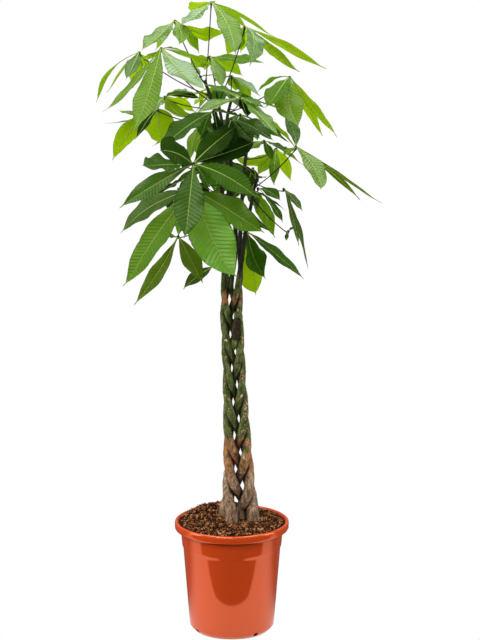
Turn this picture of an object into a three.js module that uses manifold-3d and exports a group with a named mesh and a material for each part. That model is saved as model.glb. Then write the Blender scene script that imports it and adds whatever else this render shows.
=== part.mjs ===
// A money tree of five plaited trunks in a plastic nursery pot.
// Millimetres, +Z up, origin at the middle of the pot's underside.
// The front of the plant faces -Y.

import * as THREE from "three";
import { mergeVertices } from "three/addons/utils/BufferGeometryUtils.js";
import Module from "manifold-3d";

const { clamp, lerp, degToRad } = THREE.MathUtils;
const TAU = 2 * Math.PI;

const wasm = await Module();
wasm.setup();

// ---------------------------------------------------------------- driving dimensions

const GAP = 0.3; // clearance between pieces that rest against each other

const POT = {
  height: 265,
  footRadius: 89, // flat underside
  bevelTop: 12, // height where the foot's bevel meets the wall
  wallFootRadius: 100.5,
  stepLow: 202, // the wall steps out between these two heights
  stepHigh: 208,
  stepLowRadius: 115.2,
  stepHighRadius: 117.8,
  wallTopRadius: 121,
  lipBottom: 246.5,
  lipRadius: 135,
  lipInnerRadius: 126,
  lipRounding: 2, // of the lip's two outer edges
  lipDepth: 12, // how far down the lip's inside reaches before the wall narrows
  wall: 3,
  floor: 4,
  segments: 36,
};

// Slots through the foot of the wall.
const DRAIN = { count: 4, bearing: 35, width: 13, height: 9, radius: 96, depth: 30, sides: 8 };

const SOIL = {
  rimHeight: 257, // where the soil meets the pot
  crownHeight: 270, // round the trunks
  relief: 4, // height of the bark chips
  rings: 6,
  sectors: POT.segments,
};

const TRUNKS = 5;

const PLAIT = {
  pitch: 405, // height of one full turn of a trunk through the plait
  phaseHeight: 309, // where the first trunk is at its furthest right
  straightBelow: 285,
  plaitedAbove: 310,
  top: 820,
  rootEnd: 150, // each trunk stands this far down in the soil
  ringStep: 22,
  sides: 7,
};

// Half the width of the plait at some heights, trunk thickness included: [height, half width].
const PLAIT_HALF_WIDTH = [
  [262, 44],
  [300, 42],
  [400, 34],
  [520, 29.5],
  [620, 26],
  [820, 26],
];
const TRUNK_SHARE = 0.275; // a trunk's radius as a share of that half width
const SIDE_SHARE = 0.725; // its side to side travel
const DEPTH_SHARE = 0.62; // its front to back travel

// The plait leans: its middle is this far right at the soil, and at 0 where it straightens.
const LEAN = { offset: 22, low: 250, high: 760 };

// The points of the shoots above the plait, in the order of the trunks.
const SHOOTS = [
  [[0, -3, 845], [8, 0, 900], [9, 0, 960], [0, 5, 1040], [-2, 10, 1120], [-10, 15, 1210], [0, 20, 1255]],
  [[-18, -6, 845], [-16, -8, 900], [-20, -5, 1005], [-25, -5, 1120], [-35, -10, 1220], [-55, -10, 1285],
    [-60, -10, 1300]],
  [[-12, 17, 845], [-9, 27, 900], [-8, 50, 1065], [-20, 100, 1180], [-35, 120, 1260]],
  [[16, -15, 845], [25, -14, 900], [32, -12, 955], [45, -18, 1020], [55, -20, 1075]],
  [[21, 14, 845], [19, 22, 900], [24, 60, 1020], [35, 110, 1130], [50, 140, 1200]],
];
const SHOOT = { baseRadius: 6.6, tipRadius: 3.2, rings: 10 };

const STALK = { radius: 1.8, sides: 5, rings: 4, sag: 0.1 };

// The hub is the wide end of a stalk; its leaflets start a little way out from its middle.
const HUB = { radius: 5.6, height: 5, bladeStart: 2.4 };

const BLADE = {
  thickness: 0.8,
  stations: [0, 0.28, 0.58, 0.84], // shares of its length, before the tip
  narrowStations: [0, 0.36, 0.72],
  narrow: 45, // width under which it has fewer stations
  baseHalfWidth: 1.6,
  fullness: 1.25, // shifts the widest place past the middle
  fold: 0.1, // how far the midrib lies below the edges, as a share of the width
  arch: 0.05, // how far it bows up, as a share of its length
};

const WHORL_LENGTHS = [1, 0.9, 0.74, 0.74, 0.9]; // shares of the longest leaflet

// Leaflets set evenly round a hub, the first the longest: each is [x, y, z, width].
function whorl(firstBearing, length, droop, width) {
  return WHORL_LENGTHS.map((share, i) => {
    const bearing = degToRad(firstBearing + (360 * i) / WHORL_LENGTHS.length);
    const reach = length * share * Math.cos(degToRad(droop));
    const fall = length * share * Math.sin(degToRad(droop));
    return [reach * Math.cos(bearing), reach * Math.sin(bearing), -fall, width * Math.sqrt(share)];
  });
}

// Every leaf: the trunk that bears it, the height its stalk grows from, its hub, the way its
// upper faces look, and its leaflets. A leaflet is the tip's offset from the hub and its width,
// and where they matter its roll in degrees and its arch.
const LEAVES = [
  { trunk: 2, at: 1294, hub: [-45, -20, 1470], up: [0, 0, 1], leaflets: [
    [-50, 130, -20, 56], [-75, -70, -40, 40], [55, -140, -105, 52], [145, 60, -75, 36, -30],
    [80, 125, -60, 40, -40]] },
  { trunk: 2, at: 1282, hub: [-125, -60, 1435], up: [0, 0, 1], leaflets: [
    [-70, -110, -60, 46], [10, -120, -50, 36], [52, 75, -70, 30], [112, 130, -30, 48, -50],
    [-55, 120, -35, 38]] },
  { trunk: 2, at: 1250, hub: [-155, -150, 1380], up: [0, -0.15, 1], leaflets: [
    [-50, -115, -160, 58], [105, -145, -80, 54], [65, 60, -20, 28], [128, 100, -45, 40, -45],
    [-30, 105, -20, 32],
    [-125, -60, -135, 24, 30]] },
  { trunk: 2, at: 1266, hub: [-210, 40, 1360], up: [0, 0, 1], leaflets: [
    [-105, 60, -120, 26, 30], [-85, 110, -100, 18], [-15, -115, -62, 38], [-20, 80, -68, 32],
    [25, 60, -55, 24]] },
  { trunk: 3, at: 1225, hub: [-155, 100, 1255], up: [0, 0, 1], leaflets: [
    [70, -120, 20, 36], [70, 115, -45, 42, -40], [65, -60, 0, 26], [-25, 80, -25, 30],
    [105, 90, -25, 44, -50]] },
  { trunk: 2, at: 1200, hub: [-170, 60, 1230], up: [0, -0.2, 1], leaflets: [
    [5, 70, -90, 56], [-110, 55, -125, 46, 60], [-95, 60, 0, 26, 30], [-130, 100, -40, 18],
    [-40, -95, -55, 28]] },
  { trunk: 2, at: 1232, hub: [35, -90, 1420], up: [0.1, -0.1, 1], leaflets: [
    [5, -105, -78, 50, -30, 0.16], [180, 90, -95, 26, -60], [120, 75, -100, 36, -60],
    [-45, 90, -65, 44, 30],
    [-15, 95, -60, 30]] },
  { trunk: 3, at: 1256, hub: [-45, 120, 1350], up: [0, 0, 1], leaflets: [
    [25, -85, -70, 34], [72, 70, -52, 38, -40], [-60, 80, -32, 34, 45], [120, -60, -15, 34],
    [-20, 100, -45, 32]] },
  { trunk: 1, at: 1250, hub: [0, 60, 1305], up: [0, 0, 1], leaflets: [
    [65, -85, -40, 28], [45, 60, -55, 28, -40], [-40, 90, -20, 32], [10, 115, -10, 32]] },
  { trunk: 1, at: 1236, hub: [20, -200, 1275], up: [0, -0.25, 1], leaflets: [
    [-95, -90, -25, 42], [-80, 80, 25, 28], [90, -130, -85, 40, -20], [100, 60, -35, 26],
    [48, -50, -12, 28],
    [-20, 120, 5, 36], [30, 115, 0, 32]] },
  { trunk: 1, at: 1225, hub: [135, 30, 1305], up: [0, -0.1, 1], leaflets: [
    [-75, 85, -40, 26], [-60, -120, -60, 54], [15, -110, -105, 62], [68, 80, -135, 38, -30],
    [108, 20, -140, 32, -50]] },
  { trunk: 2, at: 1120, hub: [-80, -260, 1140], up: [0.05, -0.85, 0.5], leaflets: [
    [-155, -90, -85, 42], [-20, -80, -152, 62], [-68, -100, 38, 54], [90, 105, 70, 58],
    [140, -70, -65, 54],
    [35, 70, -60, 28]] },
  { trunk: 2, at: 1060, hub: [-85, -200, 1075], up: [-0.1, -0.7, 0.7], leaflets: [
    [88, -75, -172, 84], [160, 35, -100, 58], [180, 60, -115, 38], [-150, -80, -200, 46],
    [-160, 25, -100, 38],
    [-112, 60, -68, 30]] },
  { trunk: 2, at: 1100, hub: [-110, -60, 1115], up: [0, -0.5, 0.9], leaflets: [
    [-90, -60, 5, 40], [-60, 65, -45, 34], [-20, 90, 45, 34]] },
  { trunk: 2, at: 1180, hub: [-40, -130, 1240], up: [0, -0.3, 1], leaflets: [
    [-112, -95, -72, 54], [-30, 80, -65, 34], [20, -110, -58, 44], [60, 105, -20, 36]] },
  { trunk: 1, at: 1170, hub: [0, -110, 1220], up: [0, -0.3, 1], leaflets: [
    [95, -75, -40, 44], [68, 85, -52, 32], [50, -100, -50, 48], [-22, -90, -68, 44], [10, 55, -80, 38]] },
  { trunk: 5, at: 1140, hub: [75, 80, 1155], up: [0, 0, 1], leaflets: [
    [-65, -75, -25, 28], [95, 60, -65, 28], [20, 70, -35, 24], [60, -90, -20, 26]] },
  { trunk: 5, at: 1110, hub: [105, 190, 1125], up: [0, 0, 1], leaflets: [
    [-105, 60, -22, 28, 40], [-45, 80, -75, 34, 30], [-5, -85, -78, 32], [38, 65, -85, 36, -30]] },
  { trunk: 4, at: 1058, hub: [145, -60, 1155], up: [0, -0.1, 1], leaflets: [
    [48, -95, -85, 38], [152, 80, -132, 28, -60], [200, 30, -132, 18, -40], [-25, 100, 68, 26],
    [-80, -60, 80, 24],
    [-30, -75, -12, 22]] },
  { trunk: 4, at: 1068, hub: [120, 20, 1050], up: [0, 0, 1], leaflets: [
    [42, -50, -45, 28], [58, 10, -190, 22, 30, 0.03], [34, -60, -125, 18]] },
  { trunk: 4, at: 905, hub: [35, 60, 945], up: [0, -0.5, 0.9], leaflets: [
    [45, 0, -112, 48, -30], [22, 60, -158, 50, 180], [128, 5, -118, 28], [-50, 80, -60, 34]] },
  { trunk: 2, at: 985, hub: [-120, -80, 955], up: [0, -0.6, 0.8], leaflets: [
    [-98, -75, -145, 28], [57, -60, -98, 40], [-35, -50, 10, 22], [15, 100, 40, 30]] },
  { trunk: 3, at: 890, hub: [-40, 50, 865], up: [0, 0, 1], leaflets: [
    [-75, 50, -65, 34, 40], [20, 80, 40, 28]] },
  { trunk: 4, at: 1046, hub: [60, -50, 1060], up: [0, 0, 1], leaflets: [
    [50, -45, -22, 18], [57, -10, -78, 20, -40]] },
  { trunk: 4, at: 1034, hub: [130, 0, 955], up: [0, 0, 1], leaflets: [
    [-5, -20, -20, 12], [15, 15, 10, 12]] },
  { trunk: 2, at: 1298, hub: [-70, 6, 1308], up: [0, 0, 1], leaflets: [
    [32, 25, 2, 18], [-15, 30, 20, 14]] },
  { trunk: 4, at: 1074, hub: [57, -24, 1079], up: [0, 0, 1], leaflets: [
    [-35, -35, 35, 14], [20, 35, 0, 20]] },
  { trunk: 3, at: 1200, hub: [-75, 240, 1180], up: [-0.1, 0.3, 1], leaflets: whorl(95, 150, 25, 50) },
  { trunk: 5, at: 1185, hub: [20, 265, 1200], up: [0.1, 0.3, 1], leaflets: whorl(80, 155, 30, 52) },
  { trunk: 3, at: 1120, hub: [-30, 285, 1090], up: [0, 0.4, 1], leaflets: whorl(100, 150, 30, 50) },
  { trunk: 3, at: 1060, hub: [-110, 180, 1055], up: [-0.3, 0.3, 1], leaflets: whorl(130, 130, 25, 44) },
  { trunk: 5, at: 1020, hub: [35, 210, 1030], up: [0.2, 0.3, 1], leaflets: whorl(70, 125, 30, 42) },
  { trunk: 3, at: 1000, hub: [-60, 230, 985], up: [0, 0.4, 1], leaflets: whorl(95, 130, 35, 42) },
  { trunk: 3, at: 1240, hub: [-35, 215, 1270], up: [0, 0.2, 1], leaflets: whorl(90, 150, 24, 46) },
  { trunk: 2, at: 1040, hub: [-130, 60, 1035], up: [-0.3, 0, 1], leaflets: whorl(120, 115, 25, 40) },
  { trunk: 5, at: 1080, hub: [50, 130, 1085], up: [0.1, 0.1, 1], leaflets: whorl(60, 105, 25, 36) },
];

// ---------------------------------------------------------------- solids and meshes

function solid(geometry) {
  geometry.deleteAttribute("normal");
  geometry.deleteAttribute("uv");
  const merged = mergeVertices(geometry, 1e-4);
  return new wasm.Manifold(
    new wasm.Mesh({
      numProp: 3,
      vertProperties: new Float32Array(merged.attributes.position.array),
      triVerts: new Uint32Array(merged.index.array),
    }),
  );
}

function namedMesh(name, body, material) {
  const { vertProperties, triVerts } = body.getMesh();
  const geometry = new THREE.BufferGeometry();
  geometry.setAttribute("position", new THREE.BufferAttribute(vertProperties, 3));
  geometry.setIndex(new THREE.BufferAttribute(triVerts, 1));
  geometry.computeVertexNormals();
  const mesh = new THREE.Mesh(geometry, material);
  mesh.name = name;
  return mesh;
}

function indexedGeometry(points, indices) {
  const geometry = new THREE.BufferGeometry();
  geometry.setAttribute("position", new THREE.Float32BufferAttribute(points.flatMap((p) => p.toArray()), 3));
  geometry.setIndex(indices);
  return geometry;
}

function lathe(profile, segments) {
  const points = profile.map(([radius, height]) => new THREE.Vector2(radius, height));
  return solid(new THREE.LatheGeometry(points, segments).rotateX(Math.PI / 2));
}

const vector = (xyz) => new THREE.Vector3(...xyz);

// The part of a direction that is square to another one.
function squareTo(direction, axis) {
  return direction.clone().addScaledVector(axis, -direction.dot(axis)).normalize();
}

// A round bar through points, with a radius at each, grown outwards by a clearance.
// The reference direction is nowhere along the bar.
function bar(points, radii, sides, reference, grow = 0) {
  const last = points.length - 1;
  const vertices = [];
  points.forEach((point, i) => {
    const tangent = points[Math.min(i + 1, last)].clone().sub(points[Math.max(i - 1, 0)]).normalize();
    const side = squareTo(reference, tangent);
    const other = tangent.clone().cross(side);
    const centre = point.clone();
    if (i === 0) centre.addScaledVector(tangent, -grow);
    if (i === last) centre.addScaledVector(tangent, grow);
    for (let j = 0; j < sides; j += 1) {
      const angle = (TAU * j) / sides;
      const reach = radii[i] + grow;
      vertices.push(
        centre
          .clone()
          .addScaledVector(side, reach * Math.cos(angle))
          .addScaledVector(other, reach * Math.sin(angle)),
      );
    }
  });
  const indices = [];
  for (let i = 0; i < last; i += 1) {
    for (let j = 0; j < sides; j += 1) {
      const a = i * sides + j;
      const b = i * sides + ((j + 1) % sides);
      indices.push(a, b, b + sides, a, b + sides, a + sides);
    }
  }
  for (let j = 1; j < sides - 1; j += 1) {
    indices.push(0, j + 1, j);
    indices.push(last * sides, last * sides + j, last * sides + j + 1);
  }
  return solid(indexedGeometry(vertices, indices));
}

// ---------------------------------------------------------------- pot and soil

const POT_WALL = [
  [POT.wallFootRadius, POT.bevelTop],
  [POT.stepLowRadius, POT.stepLow],
  [POT.stepHighRadius, POT.stepHigh],
  [POT.wallTopRadius, POT.lipBottom],
];

function wallRadius(height) {
  const upper = POT_WALL.findIndex(([, top], i) => i > 0 && height <= top);
  const end = upper < 0 ? POT_WALL.length - 1 : upper;
  const [lowRadius, low] = POT_WALL[end - 1];
  const [highRadius, high] = POT_WALL[end];
  return lerp(lowRadius, highRadius, (height - low) / (high - low));
}

function potSolid() {
  const inner = POT_WALL.map(([radius, height]) => [radius - POT.wall, height]).reverse();
  const shell = lathe(
    [
      [0, 0],
      [POT.footRadius, 0],
      ...POT_WALL,
      [POT.lipRadius - POT.lipRounding, POT.lipBottom],
      [POT.lipRadius, POT.lipBottom + POT.lipRounding],
      [POT.lipRadius, POT.height - POT.lipRounding],
      [POT.lipRadius - POT.lipRounding, POT.height],
      [POT.lipInnerRadius, POT.height],
      [POT.lipInnerRadius - POT.lipRounding, POT.height - POT.lipDepth],
      ...inner,
      [POT.footRadius - POT.wall, POT.floor],
      [0, POT.floor],
    ],
    POT.segments,
  );
  const drain = new THREE.CylinderGeometry(DRAIN.width / 2, DRAIN.width / 2, DRAIN.depth, DRAIN.sides);
  drain.rotateZ(Math.PI / 2).scale(1, 1, DRAIN.height / DRAIN.width);
  drain.translate(DRAIN.radius, 0, DRAIN.height);
  let pot = shell;
  for (let i = 0; i < DRAIN.count; i += 1) {
    const bearing = degToRad(DRAIN.bearing) + (TAU * i) / DRAIN.count;
    pot = pot.subtract(solid(drain.clone().rotateZ(bearing)));
  }
  return pot;
}

// Bark chips: a fixed pattern of crossing waves, from 0 to 1.
function chipHeight(x, y) {
  const wave = Math.sin(x * 0.31 + 1.7 * Math.sin(y * 0.23)) * Math.sin(y * 0.37 + 1.3 * Math.sin(x * 0.19));
  return 0.5 + 0.5 * wave;
}

function soilSolid() {
  const rimRadius = wallRadius(SOIL.rimHeight) - POT.wall - GAP;
  const vertices = [new THREE.Vector3(0, 0, SOIL.crownHeight)];
  const indices = [];
  const { sectors, rings } = SOIL;
  for (let ring = 1; ring <= rings; ring += 1) {
    const share = ring / rings;
    const mound = lerp(SOIL.crownHeight, SOIL.rimHeight, share ** 2);
    for (let sector = 0; sector < sectors; sector += 1) {
      const angle = (TAU * (sector + 0.5 * (ring % 2))) / sectors;
      const x = rimRadius * share * Math.cos(angle);
      const y = rimRadius * share * Math.sin(angle);
      const relief = ring === rings ? 0 : SOIL.relief * chipHeight(x, y);
      vertices.push(new THREE.Vector3(x, y, mound + relief));
    }
  }
  const addRing = (radius, height) => {
    for (let sector = 0; sector < sectors; sector += 1) {
      const angle = (TAU * (sector + 0.5 * (rings % 2))) / sectors;
      vertices.push(new THREE.Vector3(radius * Math.cos(angle), radius * Math.sin(angle), height));
    }
  };
  // The step in the wall stays clear of the soil, so only the corners inside it are followed.
  const belowWall = [POT_WALL[1], POT_WALL[0]];
  for (const [radius, height] of belowWall) addRing(radius - POT.wall - GAP, height);
  addRing(POT.footRadius - POT.wall - GAP, POT.floor + GAP);
  const floorCentre = vertices.push(new THREE.Vector3(0, 0, POT.floor + GAP)) - 1;
  const ringCount = rings + belowWall.length + 1;
  const start = (ring) => 1 + (ring - 1) * sectors;
  for (let sector = 0; sector < sectors; sector += 1) {
    const next = (sector + 1) % sectors;
    indices.push(0, start(1) + sector, start(1) + next);
    indices.push(floorCentre, start(ringCount) + next, start(ringCount) + sector);
  }
  for (let ring = 1; ring < ringCount; ring += 1) {
    const shifted = ring < rings && ring % 2 === 1;
    for (let sector = 0; sector < sectors; sector += 1) {
      const next = (sector + 1) % sectors;
      const [a, b] = [start(ring) + sector, start(ring) + next];
      const [c, d] = [start(ring + 1) + sector, start(ring + 1) + next];
      const diagonal = shifted ? [a, c, d, a, d, b] : [a, c, b, b, c, d];
      indices.push(...diagonal);
    }
  }
  return solid(indexedGeometry(vertices, indices));
}

// ---------------------------------------------------------------- trunks

function plaitHalfWidth(height) {
  const [first, last] = [PLAIT_HALF_WIDTH[0], PLAIT_HALF_WIDTH.at(-1)];
  if (height <= first[0]) return first[1];
  if (height >= last[0]) return last[1];
  const upper = PLAIT_HALF_WIDTH.findIndex(([top]) => height <= top);
  const [low, lowWidth] = PLAIT_HALF_WIDTH[upper - 1];
  const [high, highWidth] = PLAIT_HALF_WIDTH[upper];
  return lerp(lowWidth, highWidth, (height - low) / (high - low));
}

// The height that drives the plait's turn: it stops turning just above the soil.
function turningHeight(height) {
  const { straightBelow, plaitedAbove } = PLAIT;
  if (height >= plaitedAbove) return height;
  const above = Math.max(height - straightBelow, 0);
  const bend = plaitedAbove - straightBelow;
  return (straightBelow + plaitedAbove) / 2 + (above * above) / (2 * bend);
}

function plaitPoint(trunk, height) {
  const turn = TAU * ((turningHeight(height) - PLAIT.phaseHeight) / PLAIT.pitch + trunk / TRUNKS);
  const halfWidth = plaitHalfWidth(height);
  const lean = LEAN.offset * clamp((LEAN.high - height) / (LEAN.high - LEAN.low), 0, 1);
  return new THREE.Vector3(
    lean + SIDE_SHARE * halfWidth * Math.cos(turn),
    DEPTH_SHARE * halfWidth * Math.sin(2 * turn),
    height,
  );
}

function trunkLine(trunk) {
  const points = [plaitPoint(trunk, PLAIT.straightBelow).setZ(PLAIT.rootEnd)];
  const heights = [PLAIT.straightBelow, (PLAIT.straightBelow + PLAIT.plaitedAbove) / 2];
  const count = Math.round((PLAIT.top - PLAIT.plaitedAbove) / PLAIT.ringStep);
  for (let i = 0; i <= count; i += 1) heights.push(lerp(PLAIT.plaitedAbove, PLAIT.top, i / count));
  for (const height of heights) points.push(plaitPoint(trunk, height));
  const radii = points.map(({ z }) => TRUNK_SHARE * plaitHalfWidth(z));
  const shoot = new THREE.CatmullRomCurve3([points.at(-2), points.at(-1), ...SHOOTS[trunk].map(vector)]);
  const joined = 1 / (SHOOTS[trunk].length + 1);
  for (let i = 1; i <= SHOOT.rings; i += 1) {
    const share = i / SHOOT.rings;
    points.push(shoot.getPoint(lerp(joined, 1, share)));
    radii.push(lerp(SHOOT.baseRadius, SHOOT.tipRadius, share));
  }
  return { points, radii };
}

// The point of a trunk at a height above the plait.
function pointAtHeight(points, height) {
  const upper = Math.max(points.findIndex(({ z }) => z >= height), 1);
  const [low, high] = [points[upper - 1], points[upper]];
  return low.clone().lerp(high, clamp((height - low.z) / (high.z - low.z), 0, 1));
}

// ---------------------------------------------------------------- leaves

// A thin folded blade along a bowed midrib, from a narrow base to a pointed tip. Its upper face
// looks along the leaf's own way up, rolled about the midrib.
function blade(hub, tip, leafUp, { width, roll, arch }, thickness) {
  const outwards = squareTo(tip.clone().sub(hub), leafUp);
  const base = hub.clone().addScaledVector(outwards, HUB.bladeStart);
  const chord = tip.clone().sub(base);
  const length = chord.length();
  const along = chord.clone().normalize();
  const up = squareTo(leafUp, along).applyAxisAngle(along, degToRad(roll));
  const top = base.clone().lerp(tip, 0.5).addScaledVector(up, 2 * arch * length);
  const midrib = new THREE.QuadraticBezierCurve3(base, top, tip);
  const stations = width < BLADE.narrow ? BLADE.narrowStations : BLADE.stations;
  const vertices = []; // at each station three on the upper face, then three on the lower
  for (const share of stations) {
    const centre = midrib.getPoint(share);
    const tangent = midrib.getTangent(share);
    const normal = squareTo(up, tangent);
    const side = tangent.clone().cross(normal);
    const outline = Math.sin(Math.PI * share ** BLADE.fullness);
    const reach = Math.max(BLADE.baseHalfWidth, 0.5 * width * outline);
    const drop = 2 * BLADE.fold * (reach - BLADE.baseHalfWidth);
    for (const face of [0.5, -0.5]) {
      for (const across of [-1, 0, 1]) {
        const rise = face * thickness - (across === 0 ? drop : 0);
        const corner = centre.clone().addScaledVector(side, across * reach);
        vertices.push(corner.addScaledVector(normal, rise));
      }
    }
  }
  const tipIndex = vertices.push(tip.clone()) - 1;
  const around = [0, 1, 2, 5, 4, 3];
  const indices = [0, 4, 1, 0, 3, 4, 1, 5, 2, 1, 4, 5];
  const last = stations.length - 1;
  for (let i = 0; i < last; i += 1) {
    around.forEach((corner, k) => {
      const a = 6 * i + corner;
      const b = 6 * i + around[(k + 1) % 6];
      // Both faces are split along the same diagonals.
      const pair = k < 3 ? [a, b + 6, a + 6, a, b, b + 6] : [a, b, a + 6, b, b + 6, a + 6];
      indices.push(...pair);
    });
  }
  around.forEach((corner, k) => {
    indices.push(6 * last + corner, 6 * last + around[(k + 1) % 6], tipIndex);
  });
  return solid(indexedGeometry(vertices, indices));
}

// A leaf's stalk, which widens into the hub that its leaflets grow from.
function stalk(start, hub, up, bow, grow) {
  const neck = hub.clone().addScaledVector(up, -HUB.height);
  const middle = start.clone().lerp(neck, 0.5);
  middle.z -= STALK.sag * start.distanceTo(neck);
  middle.add(new THREE.Vector3(2 * bow[0], 2 * bow[1], 0));
  const points = new THREE.QuadraticBezierCurve3(start, middle, neck).getPoints(STALK.rings);
  const radii = points.map(() => STALK.radius);
  points.push(hub.clone().addScaledVector(up, 0.5 * HUB.height));
  radii.push(HUB.radius);
  return bar(points, radii, STALK.sides, hub.clone().sub(start).cross(up), grow);
}

// ---------------------------------------------------------------- fitting the leaves together

// A leaflet's tip may lie further forward, back or lower than its place, and a stalk may bow
// another way. The first bend that keeps clear of everything already there is taken.
const TIP_BENDS = [
  [0, 0], [-20, 0], [20, 0], [-40, 0], [40, 0], [0, -20], [-60, 0], [60, 0], [-30, -30], [30, -30],
  [-85, 0], [85, 0], [0, -45], [-60, -30], [60, -30], [-110, 0], [110, 0], [-90, -40], [90, -40],
  [0, 30], [-40, 30], [40, 30], [-140, 0], [140, 0],
];
const STALK_BOWS = [
  [0, 0], [0, -25], [0, 25], [20, 0], [-20, 0], [0, -50], [0, 50], [35, -25], [-35, -25], [35, 25],
  [-35, 25],
];
const TRIAL_GROWTH = 0.5; // how much wider a stalk is while its bow is tried
const TRIAL_THICKNESS = 3; // of a blade while its bend is tried
const HEART = 16; // leaflets of one leaf may meet this close to their hub

function overlap(one, other) {
  const [a, b] = [one.boundingBox(), other.boundingBox()];
  const apart = [0, 1, 2].some((axis) => a.min[axis] > b.max[axis] || b.min[axis] > a.max[axis]);
  return !apart && !one.intersect(other).isEmpty();
}

function firstClear(options, obstacles, build) {
  const clear = options.find((option) => {
    const trial = build(option);
    return !obstacles.some((obstacle) => overlap(trial, obstacle));
  });
  if (!clear) throw new Error("no bend keeps clear");
  return clear;
}

const trunks = SHOOTS.map((_, trunk) => {
  const { points, radii } = trunkLine(trunk);
  const right = new THREE.Vector3(1, 0, 0);
  const body = bar(points, radii, PLAIT.sides, right);
  const seat = bar(points, radii, PLAIT.sides, right, GAP);
  return { points, body, seat };
});
const trunkBodies = trunks.map(({ body }) => body);

// Stalks come first, so that no leaflet takes a stalk's place.
const stems = [];
for (const leaf of LEAVES) {
  const bearer = trunks[leaf.trunk - 1];
  const hub = vector(leaf.hub);
  const up = vector(leaf.up).normalize();
  const start = pointAtHeight(bearer.points, leaf.at);
  const otherTrunks = trunkBodies.filter((body) => body !== bearer.body);
  const obstacles = [...otherTrunks, ...stems.map(({ trial }) => trial)];
  const bentStalk = (bow, grow) => stalk(start, hub, up, bow, grow).subtract(bearer.seat);
  const bow = firstClear(STALK_BOWS, obstacles, (option) => bentStalk(option, TRIAL_GROWTH));
  stems.push({ hub, up, body: bentStalk(bow, 0), trial: bentStalk(bow, TRIAL_GROWTH) });
}

const placedBlades = [];
const leafBodies = LEAVES.map((leaf, index) => {
  const { hub, up } = stems[index];
  const heart = solid(new THREE.IcosahedronGeometry(HEART, 1).translate(...leaf.hub));
  const otherStalks = stems.filter((_, other) => other !== index).map(({ trial }) => trial);
  const obstacles = [...trunkBodies, ...otherStalks, ...placedBlades];
  let { body } = stems[index];
  for (const [x, y, z, width, roll = 0, arch = BLADE.arch] of leaf.leaflets) {
    const bentBlade = ([depth, rise], thickness) => {
      const tip = hub.clone().add(new THREE.Vector3(x, y + depth, z + rise));
      return blade(hub, tip, up, { width, roll, arch }, thickness);
    };
    const bend = firstClear(TIP_BENDS, obstacles, (option) => bentBlade(option, TRIAL_THICKNESS));
    const leaflet = bentBlade(bend, BLADE.thickness);
    placedBlades.push(leaflet);
    obstacles.push(leaflet.subtract(heart));
    body = body.add(leaflet);
  }
  return body;
});

// ---------------------------------------------------------------- the plant

const materials = {
  pot: new THREE.MeshStandardMaterial({ color: 0xd4602f, roughness: 0.35 }),
  soil: new THREE.MeshStandardMaterial({ color: 0x3d2a1c, roughness: 1 }),
  trunk: new THREE.MeshStandardMaterial({ color: 0x6a5a3c, roughness: 0.8 }),
  leaf: new THREE.MeshStandardMaterial({ color: 0x4f8a2e, roughness: 0.5 }),
};

const soilBody = trunks.reduce((soil, { seat }) => soil.subtract(seat), soilSolid());

const plant = new THREE.Group();
plant.add(namedMesh("pot", potSolid(), materials.pot));
plant.add(namedMesh("soil", soilBody, materials.soil));
trunkBodies.forEach((body, i) => plant.add(namedMesh(`trunk_${i + 1}`, body, materials.trunk)));
leafBodies.forEach((body, i) => {
  const number = String(i + 1).padStart(2, "0");
  plant.add(namedMesh(`leaf_${number}`, body, materials.leaf));
});

export default plant;
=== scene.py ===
"""The looks of a potted money tree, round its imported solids: leaves, bark, soil and pot.

Row frame in metres, +Z up, the front faces -Y. The tables and shapes of the plant, the soil and the
pot are in millimetres, and MM turns them into metres.
"""

import math
import random

import bmesh
import bpy
import numpy as np
from mathutils import Matrix, Vector, noise


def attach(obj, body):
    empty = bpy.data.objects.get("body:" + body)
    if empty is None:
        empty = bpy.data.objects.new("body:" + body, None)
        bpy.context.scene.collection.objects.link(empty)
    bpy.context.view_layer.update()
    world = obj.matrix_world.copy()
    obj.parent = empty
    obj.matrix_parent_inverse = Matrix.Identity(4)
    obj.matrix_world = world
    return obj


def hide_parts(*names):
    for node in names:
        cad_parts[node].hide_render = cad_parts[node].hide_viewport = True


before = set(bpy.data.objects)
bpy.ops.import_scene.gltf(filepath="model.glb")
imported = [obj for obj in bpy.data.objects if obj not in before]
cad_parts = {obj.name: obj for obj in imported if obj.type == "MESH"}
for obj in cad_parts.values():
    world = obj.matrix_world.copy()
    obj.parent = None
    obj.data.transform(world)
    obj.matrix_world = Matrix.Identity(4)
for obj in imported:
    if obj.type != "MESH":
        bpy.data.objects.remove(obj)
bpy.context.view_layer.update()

MM = 0.001
TAU = 2 * math.pi
TRUNK_SEED, LEAF_SEED, CHIP_SEED = 40, 100, 7
LEAF_MAP = "Leaf"

# ---------------------------------------------------------------- camera and stage

CAMERA_PLACE = (0.0194, -4.3, 1.59)
CAMERA_PITCH = 11.09  # degrees below level
CAMERA_LENS = 141.75  # mm on a 36 mm wide sensor
SENSOR_WIDTH = 36


def link(name, data):
    """A new object in the scene."""
    made = bpy.data.objects.new(name, data)
    bpy.context.scene.collection.objects.link(made)
    return made


def add_camera():
    data = bpy.data.cameras.new("camera")
    data.sensor_fit = "HORIZONTAL"
    data.sensor_width = SENSOR_WIDTH
    data.lens = CAMERA_LENS
    camera = link("camera", data)
    camera.location = CAMERA_PLACE
    camera.rotation_euler = (math.radians(90 - CAMERA_PITCH), 0, 0)
    bpy.context.scene.camera = camera


# ---------------------------------------------------------------- materials


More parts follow.
